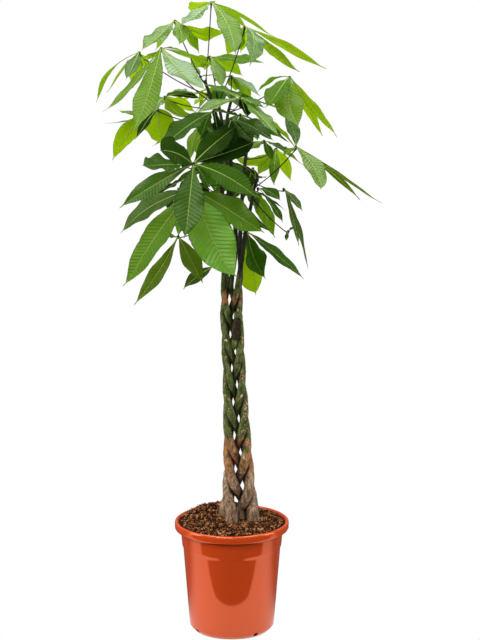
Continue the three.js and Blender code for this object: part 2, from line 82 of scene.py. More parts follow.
class Shader:
    """One material's node tree, built socket by socket."""

    def __init__(self, name):
        self.material = bpy.data.materials.new(name)
        self.material.use_nodes = True
        self.tree = self.material.node_tree
        self.tree.nodes.clear()

    def node(self, kind, settings=None, **inputs):
        made = self.tree.nodes.new("ShaderNode" + kind)
        for key, value in (settings or {}).items():
            setattr(made, key, value)
        for key, value in inputs.items():
            self.feed(made.inputs[key.replace("_", " ")], value)
        return made

    def feed(self, socket, value):
        """Links a socket or sets its value. Colours are given without their alpha."""
        if isinstance(value, bpy.types.NodeSocket):
            self.tree.links.new(value, socket)
        elif socket.type == "RGBA":
            socket.default_value = (*value, 1)
        else:
            socket.default_value = value

    def math(self, operation, *values):
        made = self.node("Math", {"operation": operation})
        for socket, value in zip(made.inputs, values):
            self.feed(socket, value)
        return made.outputs[0]

    def plus(self, one, other):
        return self.math("ADD", one, other)

    def minus(self, one, other):
        return self.math("SUBTRACT", one, other)

    def times(self, one, other):
        return self.math("MULTIPLY", one, other)

    def mix(self, factor, one, other):
        made = self.node("Mix", {"data_type": "RGBA"})
        self.feed(made.inputs[0], factor)
        self.feed(made.inputs[6], one)
        self.feed(made.inputs[7], other)
        return made.outputs[2]

    def ramp(self, factor, stops):
        made = self.node("ValToRGB", Fac=factor)
        elements = made.color_ramp.elements
        while len(elements) < len(stops):
            elements.new(0.5)
        for element, (place, colour) in zip(elements, stops):
            element.position = place
            element.color = (*colour, 1)
        return made.outputs["Color"]

    def level(self, value, low, high):
        """0 below low, 1 above high, smooth between."""
        made = self.node("MapRange", {"interpolation_type": "SMOOTHSTEP"}, Value=value)
        self.feed(made.inputs["From Min"], low)
        self.feed(made.inputs["From Max"], high)
        return made.outputs[0]

    def place(self, stretch=(1, 1, 1)):
        """The point in the row frame, stretched."""
        coordinates = self.node("TexCoord").outputs["Object"]
        return self.node("Mapping", Vector=coordinates, Scale=stretch).outputs[0]

    def noise(self, scale, detail=3, roughness=0.5, stretch=(1, 1, 1)):
        made = self.node("TexNoise", Vector=self.place(stretch), Scale=scale)
        made.inputs["Detail"].default_value = detail
        made.inputs["Roughness"].default_value = roughness
        return made.outputs["Fac"]

    def attribute(self, name):
        return self.node("Attribute", {"attribute_name": name}).outputs["Fac"]

    def bump(self, height, distance, strength=1.0):
        return self.node("Bump", Height=height, Distance=distance, Strength=strength).outputs[0]

    def skin(self, colour, roughness, gloss=0.5, normal=None):
        made = self.node("BsdfPrincipled", Base_Color=colour, Roughness=roughness)
        made.inputs["Specular IOR Level"].default_value = gloss
        if normal is not None:
            self.feed(made.inputs["Normal"], normal)
        return made

    def blend(self, share, one, other):
        """One surface, with a share of the other over it."""
        made = self.node("MixShader", Fac=share)
        self.tree.links.new(one, made.inputs[1])
        self.tree.links.new(other, made.inputs[2])
        return made.outputs[0]

    def finish(self, surface):
        output = self.node("OutputMaterial")
        self.tree.links.new(surface, output.inputs["Surface"])
        return self.material


VEIN_UNIT = 256 * MM  # the leaf map's side
VEIN_SPACING = 8.2 * MM
VEIN_SLOPE = 0.62  # how far a side vein runs towards the tip for each step out


def scaled(colour, share):
    return tuple(share * part for part in colour)


def blade_material(name, dark, light, glow, share, roughness, gloss, tint):
    """A leaflet's skin: quilted between its veins, with painted shade towards each vein, shiny above, and
    lit through from behind.
    """
    s = Shader(name)
    flat = s.node("SeparateXYZ", Vector=s.node("UVMap", {"uv_map": LEAF_MAP}).outputs[0])
    across = s.math("ABSOLUTE", s.minus(flat.outputs[0], 0.5))
    slanted = s.minus(flat.outputs[1], s.times(across, VEIN_SLOPE))
    turns = s.math("DIVIDE", slanted, VEIN_SPACING / VEIN_UNIT)
    ridge = s.math("ABSOLUTE", s.minus(s.math("FRACT", turns), 0.5))
    vein = s.level(ridge, 0.38, 0.5)
    hollow = s.level(ridge, 0.12, 0.38)
    rim = s.times(s.level(s.attribute("rim"), 0.15, 1.0), 0.8)
    patches = s.noise(24, 4)
    grain = s.noise(420, 4, 0.6)
    base = s.mix(patches, dark, light)
    # Painted shade: the green darkens towards each vein, in the creases that the quilting makes.
    base = s.mix(s.times(hollow, 0.5), base, scaled(dark, 0.5))
    base = s.mix(s.times(vein, 0.7), base, scaled(light, 2.0))
    base = s.mix(s.times(grain, 0.25), base, (0.008, 0.018, 0.002))
    base = s.mix(rim, base, scaled(dark, 0.35))
    through = s.mix(patches, scaled(glow, 0.72), glow)
    through = s.mix(rim, through, scaled(glow, 0.3))
    through = s.mix(s.times(vein, 0.6), through, scaled(glow, 0.4))
    sunk = s.plus(vein, s.times(hollow, 0.6))
    skin = s.skin(base, roughness, gloss, s.bump(s.times(sunk, -1.0), 0.8 * MM))
    skin.inputs["Specular Tint"].default_value = (*tint, 1)
    lit = s.node("BsdfTranslucent", Color=through)
    return s.finish(s.blend(share, skin.outputs[0], lit.outputs[0]))


def stem_material(name, young, old):
    """Leaf stalks and midribs."""
    s = Shader(name)
    colour = s.mix(s.noise(90, 3, 0.6, (1, 1, 0.25)), young, old)
    return s.finish(s.skin(colour, 0.5, 0.15, s.bump(s.noise(600, 3), 0.2 * MM)).outputs[0])


# The bark's kinds, each from its darkest to its palest grain; the last is no bark but painted shade under
# the leaves.
BARK_KINDS = {
    "grey": [(0.38, (0.042, 0.022, 0.010)), (0.49, (0.245, 0.150, 0.084)), (0.60, (0.53, 0.375, 0.245))],
    "tan": [(0.38, (0.050, 0.020, 0.006)), (0.49, (0.24, 0.110, 0.040)), (0.60, (0.52, 0.29, 0.14))],
    "green": [(0.38, (0.012, 0.022, 0.002)), (0.49, (0.070, 0.096, 0.014)), (0.60, (0.21, 0.23, 0.075))],
    "cream": [(0.36, (0.12, 0.06, 0.025)), (0.48, (0.42, 0.26, 0.13)), (0.60, (0.74, 0.56, 0.38))],
    "crown_shade": [(0.36, (0.003, 0.004, 0.001)), (0.50, (0.011, 0.013, 0.002)), (0.66, (0.045, 0.045, 0.012))],
}
# Heights in metres, from where a kind of bark starts to where it has taken over.
ORANGE_BARK = (0.368, 0.412)
GREEN_BARK = (0.468, 0.480)
TOP_BAND_START = (0.783, 0.791)  # an orange band near the plait's top
TOP_BAND_END = (0.811, 0.803)
# painted shade under the leaves takes over the upper stems between these heights
CROWN_SHADE_HEIGHTS = (0.83, 0.87)
ORANGE = (0.46, 0.195, 0.060)
PALE_WOOD = (0.85, 0.66, 0.44)


def bark_material():
    """Grey-brown at the foot, patched with orange-tan above it, then smooth green with scars, near black
    at the top for painted shade under the leaves.
    """
    s = Shader("bark")
    height = s.node("SeparateXYZ", Vector=s.place()).outputs[2]
    wander = s.minus(s.noise(34, 4, 0.6), 0.5)
    blotchy = s.plus(height, s.times(wander, 0.12))
    height = s.plus(height, s.times(wander, 0.03))
    grain = s.noise(330, 5, 0.75, (1, 1, 0.6))
    texture = s.plus(s.times(s.noise(130, 6, 0.75, (1, 1, 0.3)), 0.65), s.times(grain, 0.35))
    grey, tan, green, cream, crown_shade = [s.ramp(texture, stops) for stops in BARK_KINDS.values()]
    speckle = s.noise(240, 4, 0.7, (1, 1, 0.6))
    mottle = s.mix(s.level(speckle, 0.46, 0.55), (0.042, 0.034, 0.010), cream)
    patches = s.noise(62, 5, 0.65, (1, 1, 0.55))
    ragged = s.plus(patches, s.times(s.minus(grain, 0.5), 0.30))
    orange = s.mix(s.times(s.level(ragged, 0.44, 0.60), 0.75), tan, ORANGE)
    colour = s.mix(s.level(blotchy, *ORANGE_BARK), grey, orange)
    scarred = s.mix(s.times(s.level(ragged, 0.57, 0.63), 0.7), green, mottle)
    colour = s.mix(s.level(blotchy, *GREEN_BARK), colour, scarred)
    colour = s.mix(s.level(height, *CROWN_SHADE_HEIGHTS), colour, crown_shade)
    band = s.times(s.level(height, *TOP_BAND_START), s.level(height, *TOP_BAND_END))
    colour = s.mix(s.times(band, 0.8), colour, orange)
    spotted = s.mix(s.level(ragged, 0.40, 0.48), green, mottle)
    for kind, look in (("mottled", spotted), ("tan", orange), ("green", green), ("pale", PALE_WOOD)):
        colour = s.mix(s.attribute(kind), colour, look)
    pits = s.level(grain, 0.40, 0.33)
    colour = s.mix(s.times(pits, 0.7), colour, (0.014, 0.010, 0.005))
    # The dark attribute holds dark spots, dark rims, the stub's dark rings and painted shade between the
    # trunks.
    colour = s.mix(s.attribute("dark"), colour, (0.012, 0.008, 0.004))
    relief = s.plus(s.times(texture, 1.3), s.times(pits, -0.3))
    return s.finish(s.skin(colour, 0.62, 0.2, s.bump(relief, 1.8 * MM)).outputs[0])


def soil_material():
    """Peat: near black crumbs with brown fibre."""
    s = Shader("peat")
    crumbs = s.noise(300, 6, 0.75)
    colour = s.ramp(crumbs, [
        (0.40, (0.003, 0.001, 0.0004)), (0.52, (0.018, 0.006, 0.002)), (0.66, (0.12, 0.042, 0.012)),
        (0.80, (0.34, 0.15, 0.06))])
    return s.finish(s.skin(colour, 0.9, 0.15, s.bump(crumbs, 3.0 * MM)).outputs[0])


def chip_material():
    """Bark chips: each has its own tone, from near black to tan."""
    s = Shader("bark_chip")
    grain = s.noise(380, 4, 0.6, (1, 0.4, 1))
    tone = s.plus(s.attribute("tone"), s.times(s.minus(grain, 0.5), 0.5))
    colour = s.ramp(tone, [
        (0.0, (0.003, 0.0008, 0.0003)), (0.35, (0.060, 0.017, 0.004)), (0.65, (0.33, 0.115, 0.028)),
        (1.0, (0.66, 0.37, 0.17))])
    return s.finish(s.skin(colour, 0.7, 0.12, s.bump(grain, 0.6 * MM)).outputs[0])


# Heights in metres of a painted shadow in the corner under the lip.
LIP_SHADOW_START, LIP_SHADOW_END = (0.236, 0.244), (0.2475, 0.2462)
POT_IOR = 2.6  # a dense gloss, which mirrors its surroundings strongly
POT_TINT = (1, 0.3, 0.16)


def pot_material():
    """Terracotta-orange moulded plastic, shiny, with faint flow marks and a painted shadow under the lip.
    """
    s = Shader("pot_plastic")
    flow = s.noise(9, 3, 0.5, (1, 1, 0.3))
    colour = s.mix(flow, (0.59, 0.061, 0.010), (0.64, 0.070, 0.011))
    speckle = s.level(s.noise(900, 3, 0.7), 0.62, 0.75)
    colour = s.mix(s.times(speckle, 0.12), colour, (0.30, 0.03, 0.006))
    height = s.node("SeparateXYZ", Vector=s.place()).outputs[2]
    # A painted shadow darkens the corner under the lip.
    lip_shadow = s.times(s.level(height, *LIP_SHADOW_START), s.level(height, *LIP_SHADOW_END))
    colour = s.mix(s.times(lip_shadow, 0.85), colour, (0.09, 0.006, 0.001))
    rough = s.node("MapRange", Value=flow)
    rough.inputs["To Min"].default_value = 0.07
    rough.inputs["To Max"].default_value = 0.10
    skin = s.skin(colour, rough.outputs[0], normal=s.bump(s.noise(500, 2), 0.02 * MM, 0.5))
    skin.inputs["IOR"].default_value = POT_IOR
    skin.inputs["Specular Tint"].default_value = (*POT_TINT, 1)
    return s.finish(skin.outputs[0])


# The floor in a shine: how far its bright part reaches, in metres from the plant, and how strong
# it is everywhere, what the bright part adds, and what the middle of that adds.
MIRRORED_BACK = (0.20, -0.06)
MIRRORED_ASIDE = (0.9, 0.2)
MIRRORED_LEAST, MIRRORED_BRIGHT, MIRRORED_MIDDLE = 0.12, 0.68, 0.44


def floor_material():
    """White to the eye, a soft bounce of light, and bright in reflections."""
    s = Shader("floor_white")
    skin = s.skin(s.mix(s.noise(3, 2), (0.54, 0.54, 0.54), (0.58, 0.58, 0.58)), 0.8)
    white = s.node("Emission", Strength=1.0)
    here = s.node("SeparateXYZ", Vector=s.place())
    aside = s.level(s.math("ABSOLUTE", here.outputs[0]), *MIRRORED_ASIDE)
    front = s.level(here.outputs[1], *MIRRORED_BACK)
    bright = s.times(s.plus(s.times(aside, MIRRORED_MIDDLE), MIRRORED_BRIGHT), front)
    mirrored = s.node("Emission", Strength=s.plus(bright, MIRRORED_LEAST))
    rays = s.node("LightPath")
    seen = s.blend(rays.outputs["Is Camera Ray"], skin.outputs[0], white.outputs[0])
    return s.finish(s.blend(rays.outputs["Is Glossy Ray"], seen, mirrored.outputs[0]))


# ---------------------------------------------------------------- mesh helpers


def new_piece(name, vertices, faces, materials, indices=None, uvs=None, smooth=True):
    """A mesh object that rides on the part. uvs holds one pair for each vertex."""
    mesh = bpy.data.meshes.new(name)
    mesh.from_pydata([tuple(v) for v in vertices], [], faces)
    for material in materials:
        mesh.materials.append(material)
    if indices is not None:
        mesh.polygons.foreach_set("material_index", indices)
    if smooth:
        mesh.polygons.foreach_set("use_smooth", [True] * len(mesh.polygons))
    if uvs is not None:
        layer = mesh.uv_layers.new(name=LEAF_MAP)
        corners = np.empty(len(mesh.loops), dtype=np.int32)
        mesh.loops.foreach_get("vertex_index", corners)
        layer.data.foreach_set("uv", np.asarray(uvs, float)[corners].ravel())
    mesh.validate()
    piece = link(name, mesh)
    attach(piece, "root")
    return piece


def set_values(piece, kind, values):
    """One number for each vertex, which the material reads by its kind."""
    layer = piece.data.attributes.new(kind, "FLOAT", "POINT")
    layer.data.foreach_set("value", values)


def circle(radius, height, count):
    """Points round the upright axis."""
    angles = [TAU * k / count for k in range(count)]
    return [(radius * math.cos(angle), radius * math.sin(angle), height) for angle in angles]


def unit(v):
    return v / np.linalg.norm(v)


def square_to(direction, axis):
    """The part of a direction that is square to another one."""
    return unit(direction - axis * np.dot(direction, axis))


def turned(v, axis, angle):
    """v turned about a unit axis."""
    cosine, sine = math.cos(angle), math.sin(angle)
    return v * cosine + np.cross(axis, v) * sine + axis * np.dot(axis, v) * (1 - cosine)


def tube(points, radii, sides, reference):
    """A closed round tube through points: vertices and faces."""
    points = np.asarray(points, float)
    tangents = np.gradient(points, axis=0)
    vertices = []
    angles = TAU * np.arange(sides) / sides
    for point, tangent, radius in zip(points, tangents, radii):
        along = unit(tangent)
        side = square_to(reference, along)
        other = np.cross(along, side)
        ring = radius * (np.outer(np.cos(angles), side) + np.outer(np.sin(angles), other))
        vertices.extend(point + ring)
    faces = []
    for i in range(len(points) - 1):
        for j in range(sides):
            a, b = i * sides + j, i * sides + (j + 1) % sides
            faces.append((a, b, b + sides, a + sides))
    faces.append(tuple(reversed(range(sides))))
    last = (len(points) - 1) * sides
    faces.append(tuple(range(last, last + sides)))
    return vertices, faces


RIGHT = np.array([1.0, 0, 0])


def smoothstep(low, high, value):
    share = np.clip((np.asarray(value, float) - low) / (high - low), 0, 1)
    return share * share * (3 - 2 * share)


# ---------------------------------------------------------------- trunks

TRUNKS = 5
PITCH = 405  # height of one full turn of the plait
PHASE_HEIGHT = 309
STRAIGHT_BELOW, PLAITED_ABOVE, PLAIT_TOP = 285, 310, 820
RING_STEP = 22
PLAIT_HALF_WIDTH = [(262, 44), (300, 42), (400, 34), (520, 29.5), (620, 26), (820, 26)]  # by height
TRUNK_SHARE, SIDE_SHARE, DEPTH_SHARE = 0.275, 0.725, 0.62  # of the half width
LEAN_OFFSET, LEAN_LOW, LEAN_HIGH = 22, 250, 760  # the foot of the plait stands to the right
# Above the plait each trunk goes on as a shoot through these points.
SHOOTS = [
    [(0, -3, 845), (8, 0, 900), (9, 0, 960), (0, 5, 1040), (-2, 10, 1120), (-10, 15, 1210),
     (0, 20, 1255)],
    [(-18, -6, 845), (-16, -8, 900), (-20, -5, 1005), (-25, -5, 1120), (-35, -10, 1220),
     (-55, -10, 1285), (-60, -10, 1300)],
    [(-12, 17, 845), (-9, 27, 900), (-8, 50, 1065), (-20, 100, 1180), (-35, 120, 1260)],
    [(16, -15, 845), (25, -14, 900), (32, -12, 955), (45, -18, 1020), (55, -20, 1075)],
    [(21, 14, 845), (19, 22, 900), (24, 60, 1020), (35, 110, 1130), (50, 140, 1200)],
]
SHOOT_BASE_RADIUS, SHOOT_TIP_RADIUS = 6.6, 3.2
SHOOT_RINGS = 10  # of the solid, where the stalks start

PRESS = 1.16  # plaited trunks have grown against each other, so each is a little fuller
TRUNK_FOOT = 240  # height of the lowest ring, inside the soil
FINE_STEP, FINE_SIDES = 2.5, 40
FOOT_SHIFTS = [(-2, -5), (0, 0), (1, -5), (-9, 0), (0, 12)]  # how far each foot reaches right and back
FOOT_HEIGHTS = (370, 255)  # it reaches out between these,
WAIST_HEIGHTS, WAIST = (370, 325), 0.07  # narrows by this share between these,
FLARE_HEIGHTS, FLARE = (335, 255), 0.24  # and widens by this share between these
LOOSE_TOP = 90  # mm under the plait's top where the trunks press each other less
SHOOT_STEPS = 120


def plait_half_width(height):
    heights, widths = zip(*PLAIT_HALF_WIDTH)
    return float(np.interp(height, heights, widths))


def turning_height(height):
    """What drives the plait's turn: it stops turning just above the soil."""
    if height >= PLAITED_ABOVE:
        return height
    above = max(height - STRAIGHT_BELOW, 0)
    bend = PLAITED_ABOVE - STRAIGHT_BELOW
    return (STRAIGHT_BELOW + PLAITED_ABOVE) / 2 + above * above / (2 * bend)


def plait_point(trunk, height):
    """The middle of a trunk: the plait is a figure of eight, seen from above."""
    turn = TAU * ((turning_height(height) - PHASE_HEIGHT) / PITCH + trunk / TRUNKS)
    half_width = plait_half_width(height)
    lean = LEAN_OFFSET * min(max((LEAN_HIGH - height) / (LEAN_HIGH - LEAN_LOW), 0), 1)
    x = lean + SIDE_SHARE * half_width * math.cos(turn)
    y = DEPTH_SHARE * half_width * math.sin(2 * turn)
    return np.array([x, y, height])


def plait_heights():
    count = round((PLAIT_TOP - PLAITED_ABOVE) / RING_STEP)
    return [PLAITED_ABOVE + (PLAIT_TOP - PLAITED_ABOVE) * i / count for i in range(count + 1)]


def through_points(points, share):
    """A centripetal Catmull-Rom curve through points, at a share of the way by their number."""
    points = [np.asarray(p, float) for p in points]
    place = (len(points) - 1) * share
    i = min(int(place), len(points) - 2)
    weight = place - i
    one, two = points[i], points[i + 1]
    before = points[i - 1] if i > 0 else 2 * points[0] - points[1]
    after = points[i + 2] if i + 2 < len(points) else 2 * points[-1] - points[-2]
    gaps = [math.sqrt(np.linalg.norm(b - a)) for a, b in ((before, one), (one, two), (two, after))]
    start = (one - before) / gaps[0] - (two - before) / (gaps[0] + gaps[1]) + (two - one) / gaps[1]
    end = (two - one) / gaps[1] - (after - one) / (gaps[1] + gaps[2]) + (after - two) / gaps[2]
    start, end = start * gaps[1], end * gaps[1]
    cubic = 2 * one - 2 * two + start + end
    square = -3 * one + 3 * two - 2 * start - end
    return one + weight * (start + weight * (square + weight * cubic))


def shoot_control(trunk):
    heights = plait_heights()
    return [plait_point(trunk, heights[-2]), plait_point(trunk, heights[-1]), *SHOOTS[trunk]]


def coarse_line(trunk):
    """The solid's own points above the soil, which the leaf stalks start from."""
    points = [plait_point(trunk, height) for height in plait_heights()]
    control = shoot_control(trunk)
    joined = 1 / (len(control) - 1)
    for i in range(1, SHOOT_RINGS + 1):
        points.append(through_points(control, joined + (1 - joined) * i / SHOOT_RINGS))
    return points


def point_at_height(points, height):
    upper = next((i for i, p in enumerate(points) if p[2] >= height), len(points) - 1)
    upper = max(upper, 1)
    low, high = points[upper - 1], points[upper]
    share = min(max((height - low[2]) / (high[2] - low[2]), 0), 1)
    return low + (high - low) * share


def fine_line(trunk):
    """Closely set points from inside the soil to the shoot's end, and the radius at each."""
    points, radii = [], []
    height = TRUNK_FOOT
    while height <= PLAIT_TOP:
        spread = float(smoothstep(*FOOT_HEIGHTS, height))
        points.append(plait_point(trunk, height) + spread * np.array([*FOOT_SHIFTS[trunk], 0]))
        loose = float(smoothstep(PLAIT_TOP - LOOSE_TOP, PLAIT_TOP, height))
        waist = WAIST * float(smoothstep(*WAIST_HEIGHTS, height))
        flare = FLARE * float(smoothstep(*FLARE_HEIGHTS, height))
        radius = TRUNK_SHARE * plait_half_width(height)
        radii.append(radius * (PRESS + (1 - PRESS) * loose) * (1 - waist + flare))
        height += FINE_STEP
    control = shoot_control(trunk)
    joined = 1 / (len(control) - 1)
    for i in range(1, SHOOT_STEPS + 1):
        share = i / SHOOT_STEPS
        points.append(through_points(control, joined + (1 - joined) * share))
        radii.append(SHOOT_BASE_RADIUS + (SHOOT_TIP_RADIUS - SHOOT_BASE_RADIUS) * share)
    return np.array(points), np.array(radii)


KNOTS = 16  # raised rings up each trunk
KNOT_HEIGHTS = (300, 1150)
KNOT_LENGTH, KNOT_RISE = 3.2, 0.14
LUMP, FINE_LUMP = 0.08, 0.05  # unevenness, as shares of the radius
# Painted shade in the gaps between trunks: how near another trunk the bark beneath it darkens, and how
# near one on any side: where it starts and where it is darkest.
CREVICE, CREVICE_SHADE = (15.0, 0.3), 0.95
CONTACT, DARKEST = (4.6, 0.6), 0.97
CHUNK = 2000  # points that are measured at once
SHOOT_CLEAR = 60  # mm above the plait's top where no shade of another trunk is left

# Marks on the trunks' front: x, z, half width, half height, tilt in degrees, kind.
MARKS = [
    (23.1, 573, 4.2, 3.0, 35, "pale"), (14.8, 774, 2.2, 2.2, 0, "pale"),
    (-13.6, 704, 5.0, 2.2, -10, "pale"), (-0.6, 658, 5.5, 5.0, 0, "mottled"),
    (-13.0, 660, 5.0, 5.0, 0, "mottled"), (21.5, 615, 8.0, 7.0, 20, "mottled"),
    (17.0, 526, 6.0, 6.0, 0, "tan"), (38.0, 532, 9.0, 40.0, -6, "mottled"),
    (-13.0, 610, 5.0, 12.0, 0, "mottled"), (-9.0, 478, 7.0, 5.0, 0, "mottled"),
    (-13.5, 448, 5.0, 26.0, 0, "tan"), (7.0, 443, 8.0, 8.0, 30, "tan"),
    (-5.0, 393, 7.5, 13.0, 20, "tan"), (36.0, 452, 9.0, 14.0, 0, "mottled"),
    (24.5, 402, 6.0, 11.0, -20, "tan"), (-14.5, 806, 7.0, 16.0, 0, "tan"),
    (16.0, 806, 7.0, 9.0, 0, "tan"), (-2.0, 800, 8.0, 10.0, 20, "tan"),
    (0.0, 352, 1.6, 2.4, 0, "pale"), (28.0, 356, 1.6, 1.4, 0, "dark"),
    (33.0, 357, 1.4, 1.2, 0, "dark"), (33.0, 457, 8.5, 7.0, 0, "tan"),
    (34.0, 442, 8.0, 6.5, 0, "green"), (29.0, 425, 8.5, 8.0, 0, "mottled"),
    (-3.0, 476, 8.0, 9.0, 0, "mottled"), (31.0, 486, 8.0, 12.0, 0, "mottled"),
]
MARK_KINDS = ("pale", "tan", "mottled", "green", "dark")
MARK_EDGE = (1.0, 0.78)  # shares of a mark's size between which it fades out
MARK_RAGGED = 0.35
RIM_PLACE, RIM_WIDTH, RIM_DARK = 1.08, 0.16, 0.55
# strength of the painted shade on the strands' flanks inside the plait
FLANK_SHADE = 0.8


def crevice_shade(points, normals, trunk, lines):
    """Painted shade: how deep each point of a trunk lies in the gaps beneath the trunks that cross over
    it.
    """
    deepest = np.zeros(len(points))
    for other, (centres, radii) in enumerate(lines):
        if other == trunk:
            continue
        for start in range(0, len(points), CHUNK):
            chunk = slice(start, start + CHUNK)
            arms = centres[None] - points[chunk][:, None]
            far = np.linalg.norm(arms, axis=2)
            closest = (far - radii[None]).argmin(axis=1)
            rows = np.arange(len(closest))
            gap = far[rows, closest] - radii[closest]
            towards = arms[rows, closest] / far[rows, closest][:, None]
            facing = (towards * normals[chunk]).sum(axis=1)
            shaded = CREVICE_SHADE * smoothstep(*CREVICE, gap) * np.clip(1.8 * facing, 0, 1)
            touching = DARKEST * smoothstep(*CONTACT, gap)
            deepest[chunk] = np.maximum.reduce([deepest[chunk], shaded, touching])
    return deepest


def flank_shade(points, normals):
    """Painted shade on the strands' flanks: how far each point faces sideways, within the plait."""
    reach = np.array([plait_half_width(z) for z in points[:, 2]])
    lean = LEAN_OFFSET * np.clip((LEAN_HIGH - points[:, 2]) / (LEAN_HIGH - LEAN_LOW), 0, 1)
    aside = np.abs(points[:, 0] - lean) / reach
    sideways = 1 - np.abs(normals[:, 1]) / np.linalg.norm(normals, axis=1)
    return FLANK_SHADE * smoothstep(0.3, 0.85, sideways) * (1 - smoothstep(0.5, 0.8, aside))


def marked(points, fronts):
    """How strongly each mark kind covers each point, and how near it is to a mark's rim."""
    cover = {kind: np.zeros(len(points)) for kind in MARK_KINDS}
    rim = np.zeros(len(points))
    ragged = np.array([noise.noise(Vector(p) * 0.22) for p in points.tolist()])
    for x, z, half_width, half_height, tilt, kind in MARKS:
        cosine, sine = math.cos(math.radians(tilt)), math.sin(math.radians(tilt))
        across, rise = points[:, 0] - x, points[:, 2] - z
        u = (across * cosine + rise * sine) / half_width
        v = (rise * cosine - across * sine) / half_height
        far = np.hypot(u, v) + MARK_RAGGED * ragged
        inside = smoothstep(*MARK_EDGE, far) * fronts
        cover[kind] = np.maximum(cover[kind], inside)
        if kind != "mottled":
            rim = np.maximum(rim, RIM_DARK * np.exp(-((far - RIM_PLACE) / RIM_WIDTH) ** 2) * fronts)
    return cover, rim


def make_trunk(trunk, lines, material):
    """One trunk's bark, uneven and ringed, with what covers each point of it and the painted shade in its
    gaps and on its flanks.
    """
    centres, radii = lines[trunk]
    draw = random.Random(TRUNK_SEED + trunk)
    knots = [draw.uniform(*KNOT_HEIGHTS) for _ in range(KNOTS)]
    vertices, faces = tube(centres, np.ones(len(centres)), FINE_SIDES, RIGHT)
    shaped, normals = [], []
    for i, (centre, radius) in enumerate(zip(centres, radii)):
        knot = sum(math.exp(-((centre[2] - height) / KNOT_LENGTH) ** 2) for height in knots)
        for j in range(FINE_SIDES):
            arm = vertices[i * FINE_SIDES + j] - centre
            spot = Vector((0.6 * arm[0] + 7.3 * trunk, 0.6 * arm[1], 0.012 * centre[2]))
            lump = noise.noise(spot * 1.6) * LUMP
            fine = noise.noise(spot * 6.0) * FINE_LUMP
            ring = KNOT_RISE * min(knot, 1) * (0.5 + 0.5 * noise.noise(spot * 2.7))
            shaped.append(centre + arm * radius * (1 + lump + fine + ring))
            normals.append(arm)
    shaped, normals = np.array(shaped), np.array(normals)
    cover, rim = marked(shaped, np.clip(-2.5 * normals[:, 1], 0, 1))
    # Painted shade in the gaps and on the flanks joins the dark marks and rims, and fades out above the
    # plait.
    painted_shade = DARKEST * crevice_shade(shaped, normals, trunk, lines)
    painted_shade = np.maximum(painted_shade, flank_shade(shaped, normals))
    painted_shade *= 1 - smoothstep(PLAIT_TOP, PLAIT_TOP + SHOOT_CLEAR, shaped[:, 2])
    cover["dark"] = np.maximum.reduce([cover["dark"], rim, painted_shade])
    piece = new_piece(f"bark_{trunk + 1}", shaped * MM, faces, [material])
    for kind in MARK_KINDS:
        set_values(piece, kind, cover[kind])
    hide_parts(f"trunk_{trunk + 1}")


# A short cut-off side shoot stands in front of the plait: ringed and dark, green at its end.
# Each part: its name, its points, the radius at each, and how strongly it is ringed.
STUBS = [
    ("scar_ringed",
     [(14.8, -17, 757), (13.4, -18, 748), (11.3, -18, 732), (8.6, -18, 716), (6.7, -17, 706)],
     [8.2, 10.0, 10.2, 9.2, 8.0], 1.0),
    ("scar_spur", [(7.4, -17, 710), (6.4, -18, 700), (5.6, -17, 690), (4.6, -13, 680)],
     [6.6, 7.6, 6.4, 4.0], 0.0),
    ("scar_collar", [(15.8, -15, 750), (15.6, -15, 756), (15.2, -15, 762), (14.8, -14, 770)],
     [8.8, 10.4, 9.8, 6.8], 0.0),
]
STUB_RINGS = 5.0  # mm apart
STUB_STEPS, STUB_SIDES = 60, 36
STUB_ROUGH, STUB_SWELL, STUB_DARK, STUB_TAN = 0.07, 0.13, 0.74, 0.35


def add_stub(name, points, stub_radii, rings, material):
    """One part of the cut-off shoot: uneven, and ringed as strongly as rings says."""
    shares = np.linspace(0, 1, STUB_STEPS + 1)
    spots = np.array([through_points(points, share) for share in shares])
    radii = np.interp(shares * (len(points) - 1), range(len(points)), stub_radii)
    vertices, faces = tube(spots, radii, STUB_SIDES, RIGHT)
    shaped, creases = [], []
    for i, vertex in enumerate(vertices):
        centre = spots[i // STUB_SIDES]
        ring = 0.5 + 0.5 * math.cos(TAU * centre[2] / STUB_RINGS)
        rough = noise.noise(Vector(vertex) * 0.35)
        swell = 1 + STUB_ROUGH * rough + rings * STUB_SWELL * (ring - 0.5)
        shaped.append(centre + (vertex - centre) * swell)
        creases.append(rings * (STUB_DARK + 0.3 * (1 - ring) ** 2 + 0.2 * rough))
    piece = new_piece(name, np.array(shaped) * MM, faces, [material])
    set_values(piece, "dark", np.clip(creases, 0, DARKEST))
    set_values(piece, "tan", np.full(len(shaped), STUB_TAN * rings))


# ---------------------------------------------------------------- leaves

WHORL_LENGTHS = [1, 0.9, 0.74, 0.74, 0.9]
EVEN, LEVEL = (1, 1, 1, 1, 1), (0, 0, 0, 0, 0)


def whorl(first_bearing, length, droop, width, fuller=EVEN, rolls=LEVEL):
    """Leaflets set evenly round a hub, the first the longest."""
    leaflets = []
    for i, share in enumerate(WHORL_LENGTHS):
        bearing = math.radians(first_bearing + 360 * i / len(WHORL_LENGTHS))
        reach = length * share * math.cos(math.radians(droop))
        fall = length * share * math.sin(math.radians(droop))
        x, y = reach * math.cos(bearing), reach * math.sin(bearing)
        leaflets.append((x, y, -fall, width * math.sqrt(share) * fuller[i], rolls[i]))
    return leaflets


